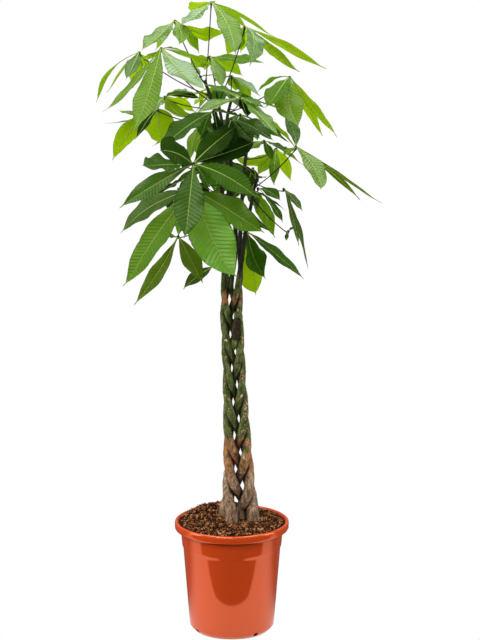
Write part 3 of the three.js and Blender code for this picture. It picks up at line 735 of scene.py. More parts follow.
# Every leaf: its trunk, the height its stalk grows from, its hub, the way its upper faces look,
# and its leaflets: the tip's offset from the hub, the width, and for some the roll and the arch.
LEAVES = [
    (2, 1294, (-45, -20, 1470), (0, 0, 1), [
        (-50, 130, -20, 56), (-75, -70, -40, 54), (55, -140, -105, 52), (145, 60, -75, 12.96, -30),
        (80, 125, -60, 22, -40)]),
    (2, 1282, (-125, -60, 1435), (0, 0, 1), [
        (-70, -110, -60, 57.5), (10, -120, -50, 37.8), (52, 75, -70, 36), (112, 130, -30, 38.4, -50),
        (-55, 120, -35, 22.8)]),
    (2, 1250, (-155, -150, 1380), (0, -0.15, 1), [
        (-50, -115, -160, 59.16), (105, -145, -80, 62.1), (65, 60, -20, 22.4),
        (128, 100, -45, 16.8, -45), (-30, 105, -20, 38.4), (-125, -60, -135, 31.2)]),
    (2, 1266, (-210, 40, 1360), (0, 0, 1), [
        (-105, 60, -120, 20.8), (-85, 110, -100, 9), (-15, -115, -62, 34.2), (-20, 80, -68, 32),
        (25, 60, -55, 24)]),
    (3, 1225, (-155, 100, 1255), (0, 0, 1), [
        (70, -120, 20, 36), (70, 115, -45, 33.6, -40), (65, -60, 0, 31.2), (-25, 80, -25, 54),
        (105, 90, -25, 19.8, -50)]),
    (2, 1200, (-170, 60, 1230), (0, -0.2, 1), [
        (5, 70, -90, 72.8), (-110, 55, -125, 46, 60), (-95, 60, 0, 36.4), (-130, 100, -40, 18),
        (-40, -95, -55, 22.4)]),
    (2, 1232, (35, -90, 1420), (0.1, -0.1, 1), [
        (5, -105, -78, 54, -30, 0.16), (180, 90, -95, 20.8, -60), (120, 75, -100, 22.32, -60),
        (-45, 90, -65, 44, 30), (-15, 95, -60, 30)]),
    (3, 1256, (-45, 120, 1350), (0, 0, 1), [
        (25, -85, -70, 34), (72, 70, -52, 38, -40), (-60, 80, -32, 34, 45), (120, -60, -15, 40.8, 25),
        (-20, 100, -45, 32)]),
    (1, 1250, (0, 60, 1305), (0, 0, 1), [
        (65, -85, -40, 28), (45, 60, -55, 28, -40), (-40, 90, -20, 32), (10, 115, -10, 32)]),
    (1, 1236, (20, -200, 1275), (0, -0.25, 1), [
        (-95, -90, -25, 42), (-80, 80, 25, 28), (90, -130, -85, 50, -20), (100, 60, -35, 26),
        (48, -50, -12, 28), (-20, 120, 5, 36), (30, 115, 0, 32)]),
    (1, 1225, (135, 30, 1305), (0, -0.1, 1), [
        (-75, 85, -40, 33.8), (-60, -120, -60, 54), (15, -110, -105, 65.1),
        (68, 80, -135, 23.56, -30), (108, 20, -140, 24, -50)]),
    (2, 1120, (-80, -260, 1140), (0.05, -0.85, 0.5), [
        (-155, -90, -85, 42), (-20, -80, -152, 65.72), (-68, -100, 38, 64.8), (90, 105, 70, 53.36),
        (140, -70, -65, 54), (35, 70, -60, 28)]),
    (2, 1060, (-85, -200, 1075), (-0.1, -0.7, 0.7), [
        (88, -75, -172, 96.6), (160, 35, -100, 69.6), (180, 60, -115, 38), (-150, -80, -200, 57.5),
        (-160, 25, -100, 51.3), (-112, 60, -68, 30)]),
    (2, 1100, (-110, -60, 1115), (0, -0.5, 0.9), [
        (-90, -60, 5, 76), (-60, 65, -45, 34), (-20, 90, 45, 34)]),
    (2, 1180, (-40, -130, 1240), (0, -0.3, 1), [
        (-112, -95, -72, 64.8), (-30, 80, -65, 34), (20, -110, -58, 30.8), (60, 105, -20, 36)]),
    (1, 1170, (0, -110, 1220), (0, -0.3, 1), [
        (95, -75, -40, 55), (68, 85, -52, 32), (50, -100, -50, 48), (-22, -90, -68, 55),
        (10, 55, -80, 64.6)]),
    (5, 1140, (75, 80, 1155), (0, 0, 1), [
        (-65, -75, -25, 53.2), (95, 60, -65, 28), (20, 70, -35, 21.6), (60, -90, -20, 26)]),
    (5, 1110, (105, 190, 1125), (0, 0, 1), [
        (-105, 60, -22, 37.8, 40), (-45, 80, -75, 32.3, 30), (-5, -85, -78, 25.6),
        (38, 65, -85, 28.8, -30)]),
    (4, 1058, (145, -60, 1155), (0, -0.1, 1), [
        (48, -95, -85, 45.6), (152, 80, -132, 15.4, -60), (200, 30, -132, 13.5, -40),
        (-25, 100, 68, 29.9), (-80, -60, 80, 31.2), (-30, -75, -12, 22)]),
    (4, 1068, (120, 20, 1050), (0, 0, 1), [
        (42, -50, -45, 22.4, 10), (58, 10, -190, 29.7, 30, 0.03), (34, -60, -125, 18)]),
    (4, 905, (35, 60, 945), (0, -0.5, 0.9), [
        (45, 0, -112, 62.4, -12), (22, 60, -158, 75, 180), (128, 5, -118, 36.4), (-50, 80, -60, 34)]),
    (2, 985, (-120, -80, 955), (0, -0.6, 0.8), [
        (-98, -75, -145, 37.8), (57, -60, -98, 44), (-35, -50, 10, 22), (15, 100, 40, 30)]),
    (3, 890, (-40, 50, 865), (0, 0, 1), [
        (-75, 50, -65, 34, 40), (20, 80, 40, 28)]),
    (4, 1046, (60, -50, 1060), (0, 0, 1), [
        (50, -45, -22, 27, 35), (57, -10, -78, 22, 35)]),
    (4, 1034, (130, 0, 955), (0, 0, 1), [
        (-5, -20, -20, 9.6), (15, 15, 10, 12)]),
    (2, 1298, (-70, 6, 1308), (0, 0, 1), [
        (32, 25, 2, 18), (-15, 30, 20, 14)]),
    (4, 1074, (57, -24, 1079), (0, 0, 1), [
        (-35, -35, 35, 16.8), (20, 35, 0, 20)]),
    (3, 1200, (-75, 240, 1180), (-0.1, 0.3, 1), whorl(95, 150, 25, 50, (0.9, 1, 0.8, 1, 1))),
    (5, 1185, (20, 265, 1200), (0.1, 0.3, 1), whorl(80, 155, 30, 52)),
    (3, 1120, (-30, 285, 1090), (0, 0.4, 1),
     whorl(100, 150, 30, 50, (1.6, 1, 1, 1.3, 0.7), (40, 0, 0, 30, 0))),
    (3, 1060, (-110, 180, 1055), (-0.3, 0.3, 1), whorl(130, 130, 25, 44)),
    (5, 1020, (35, 210, 1030), (0.2, 0.3, 1), whorl(70, 125, 30, 42, (1, 1, 1, 1, 0.5))),
    (3, 1000, (-60, 230, 985), (0, 0.4, 1), whorl(95, 130, 35, 42)),
    (3, 1240, (-35, 215, 1270), (0, 0.2, 1), whorl(90, 150, 24, 46, (1, 0.6, 1.6, 1, 1))),
    (2, 1040, (-130, 60, 1035), (-0.3, 0, 1), whorl(120, 115, 25, 40)),
    (5, 1080, (50, 130, 1085), (0.1, 0.1, 1), whorl(60, 105, 25, 36, (1, 0.7, 0.7, 0.5, 1))),
]

# How single leaflets differ. Each key is a leaf and the leaflet's place in it.
# BOWS: how far the middle lies to the right and up. TIP_SHIFTS: the tip's shift to the right, back
# and up. FULLNESSES: above 1.2 the blade is widest towards its tip, below 1 towards its base.
# SLIMNESSES: above 1 the ends taper.
BOWS = {
    (1, 1): (0, 10), (1, 2): (2, 0), (1, 3): (14, 5), (1, 4): (0, 8), (2, 1): (2, 3), (2, 2): (10, 2),
    (2, 4): (0, -15), (3, 1): (5, 2), (3, 2): (-4, -3), (3, 3): (0, 8), (3, 4): (0, 4), (3, 5): (0, -8),
    (3, 6): (4, -4), (4, 1): (-20, 13), (5, 3): (0, 14), (5, 5): (0, 8), (5, 7): (-6, -10),
    (6, 1): (0, -2), (6, 2): (-14, 8), (6, 3): (0, -7), (6, 4): (0, -8), (7, 1): (18, 16), (7, 2): (2, 3),
    (7, 3): (2, -4), (8, 1): (5, 4), (8, 2): (0, 6), (8, 4): (0, 4), (9, 1): (0, 7), (11, 1): (0, 14),
    (11, 3): (-12, 0), (11, 4): (2, 0), (11, 5): (-1, 0), (12, 1): (-3, 5), (12, 3): (1, 12),
    (12, 4): (-3, 3), (12, 5): (4, 10), (12, 7): (0, 0), (13, 1): (-6, -3), (13, 3): (7, 9),
    (13, 4): (-8, 4), (13, 5): (-15, 14), (14, 1): (0, 6), (15, 1): (-6, 10), (16, 1): (0, 13),
    (18, 1): (0, -24), (19, 1): (14, 3), (19, 2): (0, 9), (19, 3): (0, 2), (19, 4): (9, 0),
    (21, 1): (-4, 0), (21, 3): (3, 4), (22, 1): (7, 3), (24, 1): (3, 7), (27, 1): (0, 8), (32, 6): (6, 8),
}
TIP_SHIFTS = {
    (1, 1): (5, 0, -2), (1, 2): (4, 0, -3), (2, 3): (0, 0, -6), (2, 5): (4, 0, -38), (3, 1): (-6, 0, -14),
    (3, 5): (-16, 0, -4), (4, 3): (-9, 0, 8), (5, 3): (0, 0, 8), (5, 5): (-20, 0, 16), (6, 3): (0, 0, -7),
    (6, 5): (-8, 0, -6), (10, 3): (-4, 0, 14), (11, 4): (10, 0, -8), (13, 1): (12, 0, -9),
    (15, 3): (-5, 115, 0), (17, 3): (3, 0, -20), (19, 1): (4, 0, 0), (21, 2): (0, 0, -5),
    (21, 3): (7, 0, 4), (28, 1): (2, 0, -30), (28, 3): (26, 0, -34), (30, 1): (10, 0, -30),
    (36, 1): (-75, 0, -30), (36, 5): (-110, 0, -30),
}
FULLNESSES = {
    (1, 1): 1.0, (1, 2): 1.3, (2, 4): 1.6, (3, 6): 1.3, (4, 1): 1.7, (6, 1): 0.82, (12, 3): 1.25,
    (12, 7): 1.45, (13, 4): 1.1, (19, 1): 1.2, (19, 2): 1.4, (19, 3): 1.6, (21, 2): 1.7, (24, 2): 1.8,
}
SLIMNESSES = {
    (1, 1): 0.8, (6, 1): 0.5, (12, 3): 0.55, (12, 4): 0.85, (12, 7): 0.8, (13, 1): 0.85, (13, 4): 0.8,
    (14, 1): 0.8, (15, 1): 0.8, (19, 1): 0.7, (21, 2): 0.8,
}
# By leaf: how far its hub stands off the solid's, and the leaflets it has beyond the solid's.
HUB_SHIFTS = {1: (0, 0, 4), 3: (3, 0, -1), 7: (-5, 0, 3), 8: (-6, 0, -4), 11: (-3, 0, 0)}
MORE_LEAFLETS = {
    5: [(-33, -55, -35, 30), (75, -120, -37, 51)], 10: [(16, 30, -44, 34)], 12: [(137, 140, 34, 50)],
    17: [(-98, 90, -74, 34)], 32: [(68, -110, -107, 39.6, 40)], 34: [(-52, -25, -60, 40)],
}

# Where the room is tight, a tip lies further back, forward or lower, and a stalk bows aside.
TIP_BENDS = [
    (0, 0), (-20, 0), (20, 0), (-40, 0), (40, 0), (0, -20), (-60, 0), (60, 0), (-30, -30), (30, -30),
    (-85, 0), (85, 0), (0, -45), (-60, -30), (60, -30), (-110, 0), (110, 0), (-90, -40), (90, -40),
    (0, 30), (-40, 30), (40, 30), (-140, 0), (140, 0),
]
STALK_BOWS = [
    (0, 0), (0, -25), (0, 25), (20, 0), (-20, 0), (0, -50), (0, 50), (35, -25), (-35, -25), (35, 25),
    (-35, 25),
]
SOLID_STALK_RADIUS = 1.8
HUB_HEIGHT = 5
STALK_SAG = 0.1  # share of the stalk's length
BLADE_START = 2.4  # mm from the hub
ARCH = 0.05  # share of the leaflet's length

BLADE_END = 0.955  # where the blade gives way to its drip tip
TAIL_START = 0.78
TAIL_SHARE = 0.10  # of the half width
QUILT = 1.4  # mm that the skin stands up between two veins
USUAL_WIDTH = 46
ROW_STEP, FEWEST_ROWS, MOST_ROWS = 2.2, 16, 90
WIDE_BLADE, WIDE_COLUMNS, NARROW_COLUMNS = 34, 8, 5
BLADE_EDGE = 1.1  # mm that a blade measures at least to each side
RIB_SIDES, RIB_TIP_RADIUS, RIB_RADIUS, RIB_BY_WIDTH = 6, 0.22, 0.40, 0.016
RIPPLE = 11  # mm from one ripple of the edge to the next

# What the draws for each leaflet range over. The first three are shares of its length, FOLD and
# SCALLOP of its half width, WAVE_RISE of its width, and TWIST is in radians.
SIDE_BEND = (-0.025, 0.025)
HOOK = (-0.06, 0.06)
DIP = (0.0, 0.05)
FULLNESS = (1.08, 1.28)
SLIMNESS = (0.95, 1.2)
FOLD = (0.13, 0.22)
TWIST = (-0.2, 0.2)
WAVE_COUNT = (1.8, 3.4)
WAVE_RISE = (0.045, 0.085)
SCALLOP = (0.04, 0.08)


def bezier(start, middle, end, share):
    share = np.asarray(share, float)[..., None]
    return (1 - share) ** 2 * start + 2 * share * (1 - share) * middle + share**2 * end


def blade_outline(share, fullness, slimness):
    """Half width along a leaflet, as a share of the greatest."""
    body = np.sin(np.pi * np.clip(share / BLADE_END, 0, 1) ** fullness)
    body = np.maximum(body, 0) ** slimness
    tail = TAIL_SHARE * (np.clip((1 - share) / (1 - TAIL_START), 0, 1) ** 0.7)
    return (body**3 + tail**3) ** (1 / 3)


def blade_skin(shares, middles, reach, up, length, width, fold, draw):
    """A waved and quilted blade: its vertices, faces, flat map and how strongly each is rim."""
    twist = draw.uniform(*TWIST)
    wave_count = draw.uniform(*WAVE_COUNT)
    phases = draw.uniform(0, TAU), draw.uniform(0, TAU)
    wave = draw.uniform(*WAVE_RISE) * width
    scallop = draw.uniform(*SCALLOP)
    seed = draw.uniform(0, 99)
    columns = WIDE_COLUMNS if width > WIDE_BLADE else NARROW_COLUMNS
    acrosses = np.linspace(-1, 1, 2 * columns + 1)
    acrosses = np.sign(acrosses) * np.abs(acrosses) ** 0.9
    pattern = (USUAL_WIDTH / width) ** 0.35
    vertices, uvs = [], []
    for share, middle, tangent, half in zip(shares, middles, np.gradient(middles, axis=0), reach):
        tangent = unit(tangent)
        normal = turned(square_to(up, tangent), tangent, twist * (share - 0.3))
        side = np.cross(tangent, normal)
        distance = share * length * pattern
        for across in acrosses:
            hand = 0 if across < 0 else 1
            swing = math.sin(TAU * wave_count * share + phases[hand])
            spot = Vector((length * share / RIPPLE, seed + 5 * hand, 0))
            out = half * abs(across) * (1 + scallop * noise.noise(spot))
            turns = (distance - VEIN_SLOPE * out * pattern) * MM / VEIN_SPACING
            pillow = abs(math.sin(math.pi * (turns - 0.5))) ** 0.8
            inside = math.sin(math.pi * min(abs(across), 1) ** 0.8) * min(1, half / 9)
            rise = -fold * half * (1 - abs(across) ** 1.25)
            rise += QUILT * pillow * inside
            rise += wave * swing * across * across * math.sin(math.pi * share)
            out = math.copysign(out, across)
            vertices.append(middle + out * side + rise * normal)
            uvs.append((0.5 + out * pattern * MM / VEIN_UNIT, distance * MM / VEIN_UNIT))
    wide = len(acrosses)
    corners = [i * wide + j for i in range(len(shares) - 1) for j in range(wide - 1)]
    faces = [(a, a + 1, a + 1 + wide, a + wide) for a in corners]
    rims = np.tile((np.abs(acrosses) > 0.99).astype(float), len(shares))
    return vertices, faces, uvs, rims


def blade_rib(shares, middles, reach, up, along, width, fold):
    """The midrib, under the blade's fold: vertices and faces."""
    places = np.linspace(0, 1, (len(shares) - 1) // 2 + 1)
    points = np.array([np.interp(places, shares, middles[:, axis]) for axis in range(3)]).T
    drops = fold * np.interp(places, shares, reach)
    radii = RIB_TIP_RADIUS + (RIB_RADIUS + RIB_BY_WIDTH * width) * (1 - places) ** 0.85
    return tube(points - np.outer(drops, square_to(up, along)), radii, RIB_SIDES, up)


def make_leaflet(key, hub, tip, leaf_up, draw, width, roll=0, arch=ARCH):
    """One leaflet in millimetres: its blade and its midrib."""
    base = hub + BLADE_START * square_to(tip - hub, leaf_up)
    length, along = np.linalg.norm(tip - base), unit(tip - base)
    up = turned(square_to(leaf_up, along), along, math.radians(roll))
    side_way = np.cross(along, up)
    bow = arch * length * up + draw.uniform(*SIDE_BEND) * length * side_way
    if key in BOWS:
        bow[0], bow[2] = BOWS[key]
    shares = np.linspace(0, 1, int(np.clip(length / ROW_STEP, FEWEST_ROWS, MOST_ROWS)) + 1)
    late = shares**3 - shares**9
    hook = length * draw.uniform(*HOOK) * late
    dip = -length * draw.uniform(*DIP) * late
    middles = bezier(base, (base + tip) / 2 + 2 * bow, tip, shares)
    middles = middles + np.outer(hook, side_way) + np.outer(dip, up)
    fullness, slimness = draw.uniform(*FULLNESS), draw.uniform(*SLIMNESS)
    outline = blade_outline(shares, FULLNESSES.get(key, fullness), SLIMNESSES.get(key, slimness))
    reach = np.maximum(width / 2 * outline, BLADE_EDGE * np.clip((1 - shares) * length / 5, 0.1, 1))
    fold = draw.uniform(*FOLD)
    blade = blade_skin(shares, middles, reach, up, length, width, fold, draw)
    return blade, blade_rib(shares, middles, reach, up, along, width, fold)


def nearest(vertices, point):
    return float(np.min(np.linalg.norm(vertices - point, axis=1)))


def chosen_tip(solid, hub, offset):
    """The tip that the solid leaf has, among those it may have."""
    tips = [hub + np.array([offset[0], offset[1] + depth, offset[2] + rise]) for depth, rise in TIP_BENDS]
    return min(tips, key=lambda tip: nearest(solid, tip))


def stalk_curve(start, hub, up, bow):
    neck = hub - HUB_HEIGHT * up
    middle = (start + neck) / 2
    middle[2] -= STALK_SAG * np.linalg.norm(neck - start)
    middle[:2] += 2 * np.array(bow)
    return start, middle, neck


def chosen_stalk(solid, start, hub, up):
    """The stalk's curve that the solid leaf has: its ring at half way lies round it."""
    def misfit(bow):
        centre = bezier(*stalk_curve(start, hub, up, bow), 0.5)
        far = np.sort(np.abs(np.linalg.norm(solid - centre, axis=1) - SOLID_STALK_RADIUS))
        return far[:5].sum()

    return stalk_curve(start, hub, up, min(STALK_BOWS, key=misfit))


STALK_POINTS, STALK_SIDES = 26, 10
STALK_RADIUS = 1.25
FOOT_SWELL, NECK_SWELL = 2.2, 0.9
HUB_KNOB = [(-2.2, 2.9), (-0.4, 3.5), (1.2, 3.1), (2.3, 1.9), (2.7, 0.5)]  # rise over the hub, radius


def make_stalk(curve, hub, up):
    """A leaf's stalk, swollen at both ends, with the knob that the leaflets grow from."""
    shares = np.linspace(0, 1, STALK_POINTS)
    points = list(bezier(*curve, shares))
    foot = FOOT_SWELL * np.exp(-(shares / 0.05) ** 2)
    neck = NECK_SWELL * np.exp(-((1 - shares) / 0.04) ** 2)
    points += [hub + rise * up for rise, _ in HUB_KNOB]
    radii = [*(STALK_RADIUS + foot + neck), *(radius for _, radius in HUB_KNOB)]
    return tube(points, radii, STALK_SIDES, np.cross(hub - curve[0], up))


class Gather:
    """Collects several shapes in millimetres into one mesh."""

    def __init__(self):
        self.vertices, self.faces, self.slots, self.materials = [], [], [], []
        self.uvs, self.rims = [], []

    def add(self, vertices, faces, material, uvs=None, rims=None):
        if material not in self.materials:
            self.materials.append(material)
        start = len(self.vertices)
        self.vertices.extend(vertices)
        self.faces.extend(tuple(start + i for i in face) for face in faces)
        self.slots.extend([self.materials.index(material)] * len(faces))
        self.uvs.extend(uvs if uvs is not None else [(0.5, 0.5)] * len(vertices))
        self.rims.extend(rims if rims is not None else [0.0] * len(vertices))

    def piece(self, name):
        points = [np.asarray(v) * MM for v in self.vertices]
        made = new_piece(name, points, self.faces, self.materials, self.slots, self.uvs)
        set_values(made, "rim", self.rims)
        return made


# Blade looks: dark and light green above, the glow of light through it, the share let through,
# roughness, gloss and the gloss's tint. Most are lighter and darker copies of one green that paint light
# and shade: pale and satin carry a painted glare, lit, glow and bright are brighter for light from
# behind, partly real translucency and partly painted light, and deep, shady and dark carry painted shade.
# Dry is a withered leaf's own colour.
BLADE_LOOKS = {
    "pale": ((0.105, 0.205, 0.055), (0.170, 0.300, 0.110), (0.40, 0.70, 0.03), 0.24, 0.30, 0.9,
             (0.88, 1, 0.9)),
    "satin": ((0.060, 0.140, 0.010), (0.100, 0.205, 0.022), (0.40, 0.72, 0.002), 0.28, 0.33, 0.75,
              (0.82, 1, 0.6)),
    "fresh": ((0.056, 0.142, 0.004), (0.098, 0.218, 0.010), (0.38, 0.70, 0.001), 0.28, 0.34, 0.6,
              (0.8, 1, 0.4)),
    "lit": ((0.090, 0.190, 0.001), (0.140, 0.260, 0.002), (0.48, 0.77, 0.001), 0.50, 0.45, 0.25,
            (0.7, 1, 0.1)),
    "glow": ((0.072, 0.155, 0.001), (0.115, 0.215, 0.002), (0.42, 0.68, 0.001), 0.45, 0.45, 0.2,
             (0.7, 1, 0.1)),
    "grass": ((0.044, 0.128, 0.0005), (0.074, 0.190, 0.001), (0.32, 0.62, 0.001), 0.24, 0.40, 0.14,
              (0.7, 1, 0.1)),
    "bright": ((0.050, 0.130, 0.003), (0.084, 0.190, 0.006), (0.42, 0.74, 0.001), 0.38, 0.36, 0.5,
               (0.8, 1, 0.4)),
    "vivid": ((0.070, 0.228, 0.014), (0.116, 0.350, 0.032), (0.38, 0.76, 0.002), 0.28, 0.33, 0.65,
              (0.8, 1, 0.6)),
    "green": ((0.032, 0.104, 0.002), (0.068, 0.172, 0.004), (0.26, 0.58, 0.001), 0.26, 0.36, 0.45,
              (0.7, 1, 0.3)),
    "deep": ((0.014, 0.052, 0.0006), (0.034, 0.100, 0.001), (0.08, 0.28, 0.001), 0.20, 0.38, 0.24,
             (0.6, 1, 0.2)),
    "rich": ((0.026, 0.078, 0.006), (0.056, 0.136, 0.014), (0.14, 0.36, 0.001), 0.22, 0.36, 0.45,
             (0.75, 1, 0.5)),
    "shady": ((0.007, 0.026, 0.0003), (0.019, 0.056, 0.0006), (0.04, 0.13, 0.0005), 0.16, 0.42, 0.16,
              (0.6, 1, 0.2)),
    "dark": ((0.002, 0.012, 0.0002), (0.007, 0.030, 0.0004), (0.02, 0.07, 0.0002), 0.12, 0.5, 0.08,
             (0.6, 1, 0.2)),
    "olive": ((0.034, 0.070, 0.001), (0.066, 0.130, 0.003), (0.22, 0.40, 0.001), 0.25, 0.45, 0.35,
              (0.8, 1, 0.3)),
    "dull": ((0.020, 0.060, 0.004), (0.056, 0.120, 0.012), (0.14, 0.28, 0.003), 0.18, 0.40, 0.35,
             (0.8, 1, 0.5)),
    "dry": ((0.05, 0.045, 0.008), (0.09, 0.09, 0.016), (0.14, 0.14, 0.01), 0.2, 0.6, 0.3,
            (1, 1, 0.8)),
}
# Each leaf and leaflet takes the look whose painted light or shade fits where it stands in the light.
LEAF_LOOKS = {
    "bright": [1, 2, 3, 4, 6, 7, 8, 9, 11, 17, 18, 19, 26],
    "deep": [12, 14, 15, 16, 24, 28, 29, 30, 32, 33, 34],
    "dark": [27, 31, 35, 36],
    "dull": [20, 23],
    "dry": [25],
}
LEAFLET_LOOKS = {
    "pale": [(1, 2), (3, 2), (5, 3), (5, 4), (5, 6), (7, 1), (9, 1)],
    "satin": [(2, 1), (8, 1), (10, 1), (10, 3), (19, 1)],
    "fresh": [(1, 3), (2, 2), (3, 1)],
    "lit": [
        (2, 4), (4, 4), (5, 2), (5, 7), (6, 1), (6, 2), (7, 4), (7, 5), (17, 5), (18, 1), (18, 4),
        (21, 2), (34, 2), (34, 3), (34, 6)],
    "glow": [(1, 1), (7, 2), (7, 3), (11, 4), (11, 5)],
    "grass": [(8, 4), (11, 2), (18, 3), (32, 6)],
    "bright": [(2, 5), (3, 4), (6, 3), (8, 2), (11, 3), (18, 2), (19, 5), (28, 3)],
    "vivid": [(13, 1)],
    "green": [(11, 1), (13, 2), (17, 2), (28, 1)],
    "rich": [(4, 3), (12, 1), (12, 2), (19, 4)],
    "deep": [(5, 1), (12, 5), (14, 1), (16, 1), (17, 3), (17, 4), (21, 1), (21, 3), (24, 1), (24, 2)],
    "shady": [(12, 3), (12, 4), (13, 3), (25, 1), (36, 1), (36, 5)],
    "dark": [(5, 5), (6, 5), (10, 8), (12, 7), (15, 3), (16, 4), (16, 5), (27, 1), (32, 5)],
    "olive": [(19, 2), (19, 3), (22, 1), (22, 2)],
    "dull": [(13, 5)],
}


def look_of(key):
    """A leaflet's own look, or else its leaf's."""
    for looks, member in ((LEAFLET_LOOKS, key), (LEAF_LOOKS, key[0])):
        for look, members in looks.items():
            if member in members:
                return look
    return "green"


def make_leaf(number, entry, line):
    """A whole leaf along its solid one: stalk, hub and leaflets."""
    _, at, hub, up, leaflets = entry
    node = f"leaf_{number:02d}"
    solid = np.array([v.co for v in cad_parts[node].data.vertices]) / MM
    hub, up = np.array(hub, float), unit(np.array(up, float))
    curve = chosen_stalk(solid, point_at_height(line, at), hub, up)
    tips = [chosen_tip(solid, hub, leaflet[:3]) for leaflet in leaflets]
    # The tips are the solid's, so the hub shifts only after they are known.
    more = MORE_LEAFLETS.get(number, [])
    tips += [hub + np.array(leaflet[:3]) for leaflet in more]
    shift = np.array(HUB_SHIFTS.get(number, (0, 0, 0)), float)
    hub, curve = hub + shift, (*curve[:2], curve[2] + shift)
    draw = random.Random(LEAF_SEED + number)
    leaf = Gather()
    leaf.add(*make_stalk(curve, hub, up), STALK)
    for order, (leaflet, tip) in enumerate(zip(leaflets + more, tips), start=1):
        key = (number, order)
        tip = tip + np.array(TIP_SHIFTS.get(key, (0, 0, 0)))
        (vertices, faces, uvs, rims), rib = make_leaflet(key, hub, tip, up, draw, *leaflet[3:])
        leaf.add(vertices, faces, BLADES[look_of(key)], uvs, rims)
        leaf.add(*rib, MIDRIB)
    piece = leaf.piece(f"foliage_{number:02d}")
    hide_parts(node)


# ---------------------------------------------------------------- soil

SOIL_RIM, SOIL_CROWN = 260, 270
SOIL_RADIUS = 123.5
SOIL_SIDE = [(118.0, 252), (112, 240)]  # radius and height below the rim
SOIL_LIFT = 1
SOIL_RINGS, SOIL_SECTORS = 60, 160
HEAP_BEARING = 118  # where the soil is heaped highest, behind to the left
HEAP, HEAP_SHARE, HEAP_SPREAD = 15, 0.80, 0.22
LUMPS = [(2.2, 0.045), (1.8, 0.12), (1.1, 0.33)]  # height and closeness


def soil_height(x, y):
    share = min(math.hypot(x, y) / SOIL_RADIUS, 1)
    mound = SOIL_CROWN + (SOIL_RIM - SOIL_CROWN) * share**2
    turn = math.atan2(y, x) - math.radians(HEAP_BEARING)
    facing = max(math.cos(turn), 0) ** 1.5
    heap = HEAP * facing * math.exp(-((share - HEAP_SHARE) / HEAP_SPREAD) ** 2)
    spot = Vector((x, y, 0))
    return mound + heap + sum(height * noise.noise(spot * scale) for height, scale in LUMPS) + SOIL_LIFT


def make_soil(material):
    vertices = [(0, 0, soil_height(0, 0))]
    for ring in range(1, SOIL_RINGS + 1):
        for x, y, _ in circle(SOIL_RADIUS * ring / SOIL_RINGS, 0, SOIL_SECTORS):
            vertices.append((x, y, soil_height(x, y)))
    for radius, height in SOIL_SIDE:
        vertices += circle(radius, height, SOIL_SECTORS)
    faces = [(0, 1 + j, 1 + (j + 1) % SOIL_SECTORS) for j in range(SOIL_SECTORS)]
    last = len(vertices) - SOIL_SECTORS
    for start in range(1, last, SOIL_SECTORS):
        for j in range(SOIL_SECTORS):
            a, b = start + j, start + (j + 1) % SOIL_SECTORS
            faces.append((a, a + SOIL_SECTORS, b + SOIL_SECTORS, b))
    faces.append(tuple(reversed(range(last, last + SOIL_SECTORS))))
    piece = new_piece("peat", [np.array(v) * MM for v in vertices], faces, [material])
    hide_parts("soil")


CHIPS, CRUMBS = 3600, 2400
CHIP_LENGTH, CRUMB_LENGTH = (5, 13), (1.5, 4)
CHIP_WIDTH, CHIP_THICKNESS = (0.2, 0.45), (0.12, 0.28)  # shares of the length
CHIP_CORNERS = 6
CHIP_LAYERS = [(0.82, -0.5), (1.0, -0.1), (0.92, 0.35), (0.55, 0.5)]  # scale and share of the thickness
CHIP_TILT, CHIP_ROLL = 0.7, 0.5  # in radians
CHIP_LIFT = (-1.0, 1.6)
CHIP_MARGIN, CLEAR_OF_TRUNK = 2, 13  # from the soil's edge and from a trunk's middle
BRIGHT_CHIPS = 0.52  # share of the chips
BRIGHT_TONE, DARK_TONE, TONE_SPREAD = 0.60, 0.14, 0.17


def chip_shape(draw, length, width, thickness):
    """A split flake: a lopsided six-sided slab with a bevelled top."""
    outline = []
    for k in range(CHIP_CORNERS):
        angle = TAU * (k + draw.uniform(-0.3, 0.3)) / CHIP_CORNERS
        reach = draw.uniform(0.75, 1.1)
        outline.append((reach * length / 2 * math.cos(angle), reach * width / 2 * math.sin(angle)))
    vertices = [(x * scale, y * scale, height * thickness * draw.uniform(0.8, 1.2))
                for scale, height in CHIP_LAYERS for x, y in outline]
    top = len(vertices) - CHIP_CORNERS
    faces = [tuple(reversed(range(CHIP_CORNERS))), tuple(range(top, len(vertices)))]
    for start in range(0, top, CHIP_CORNERS):
        for k in range(CHIP_CORNERS):
            a, b = start + k, start + (k + 1) % CHIP_CORNERS
            faces.append((a, b, b + CHIP_CORNERS, a + CHIP_CORNERS))
    return vertices, faces


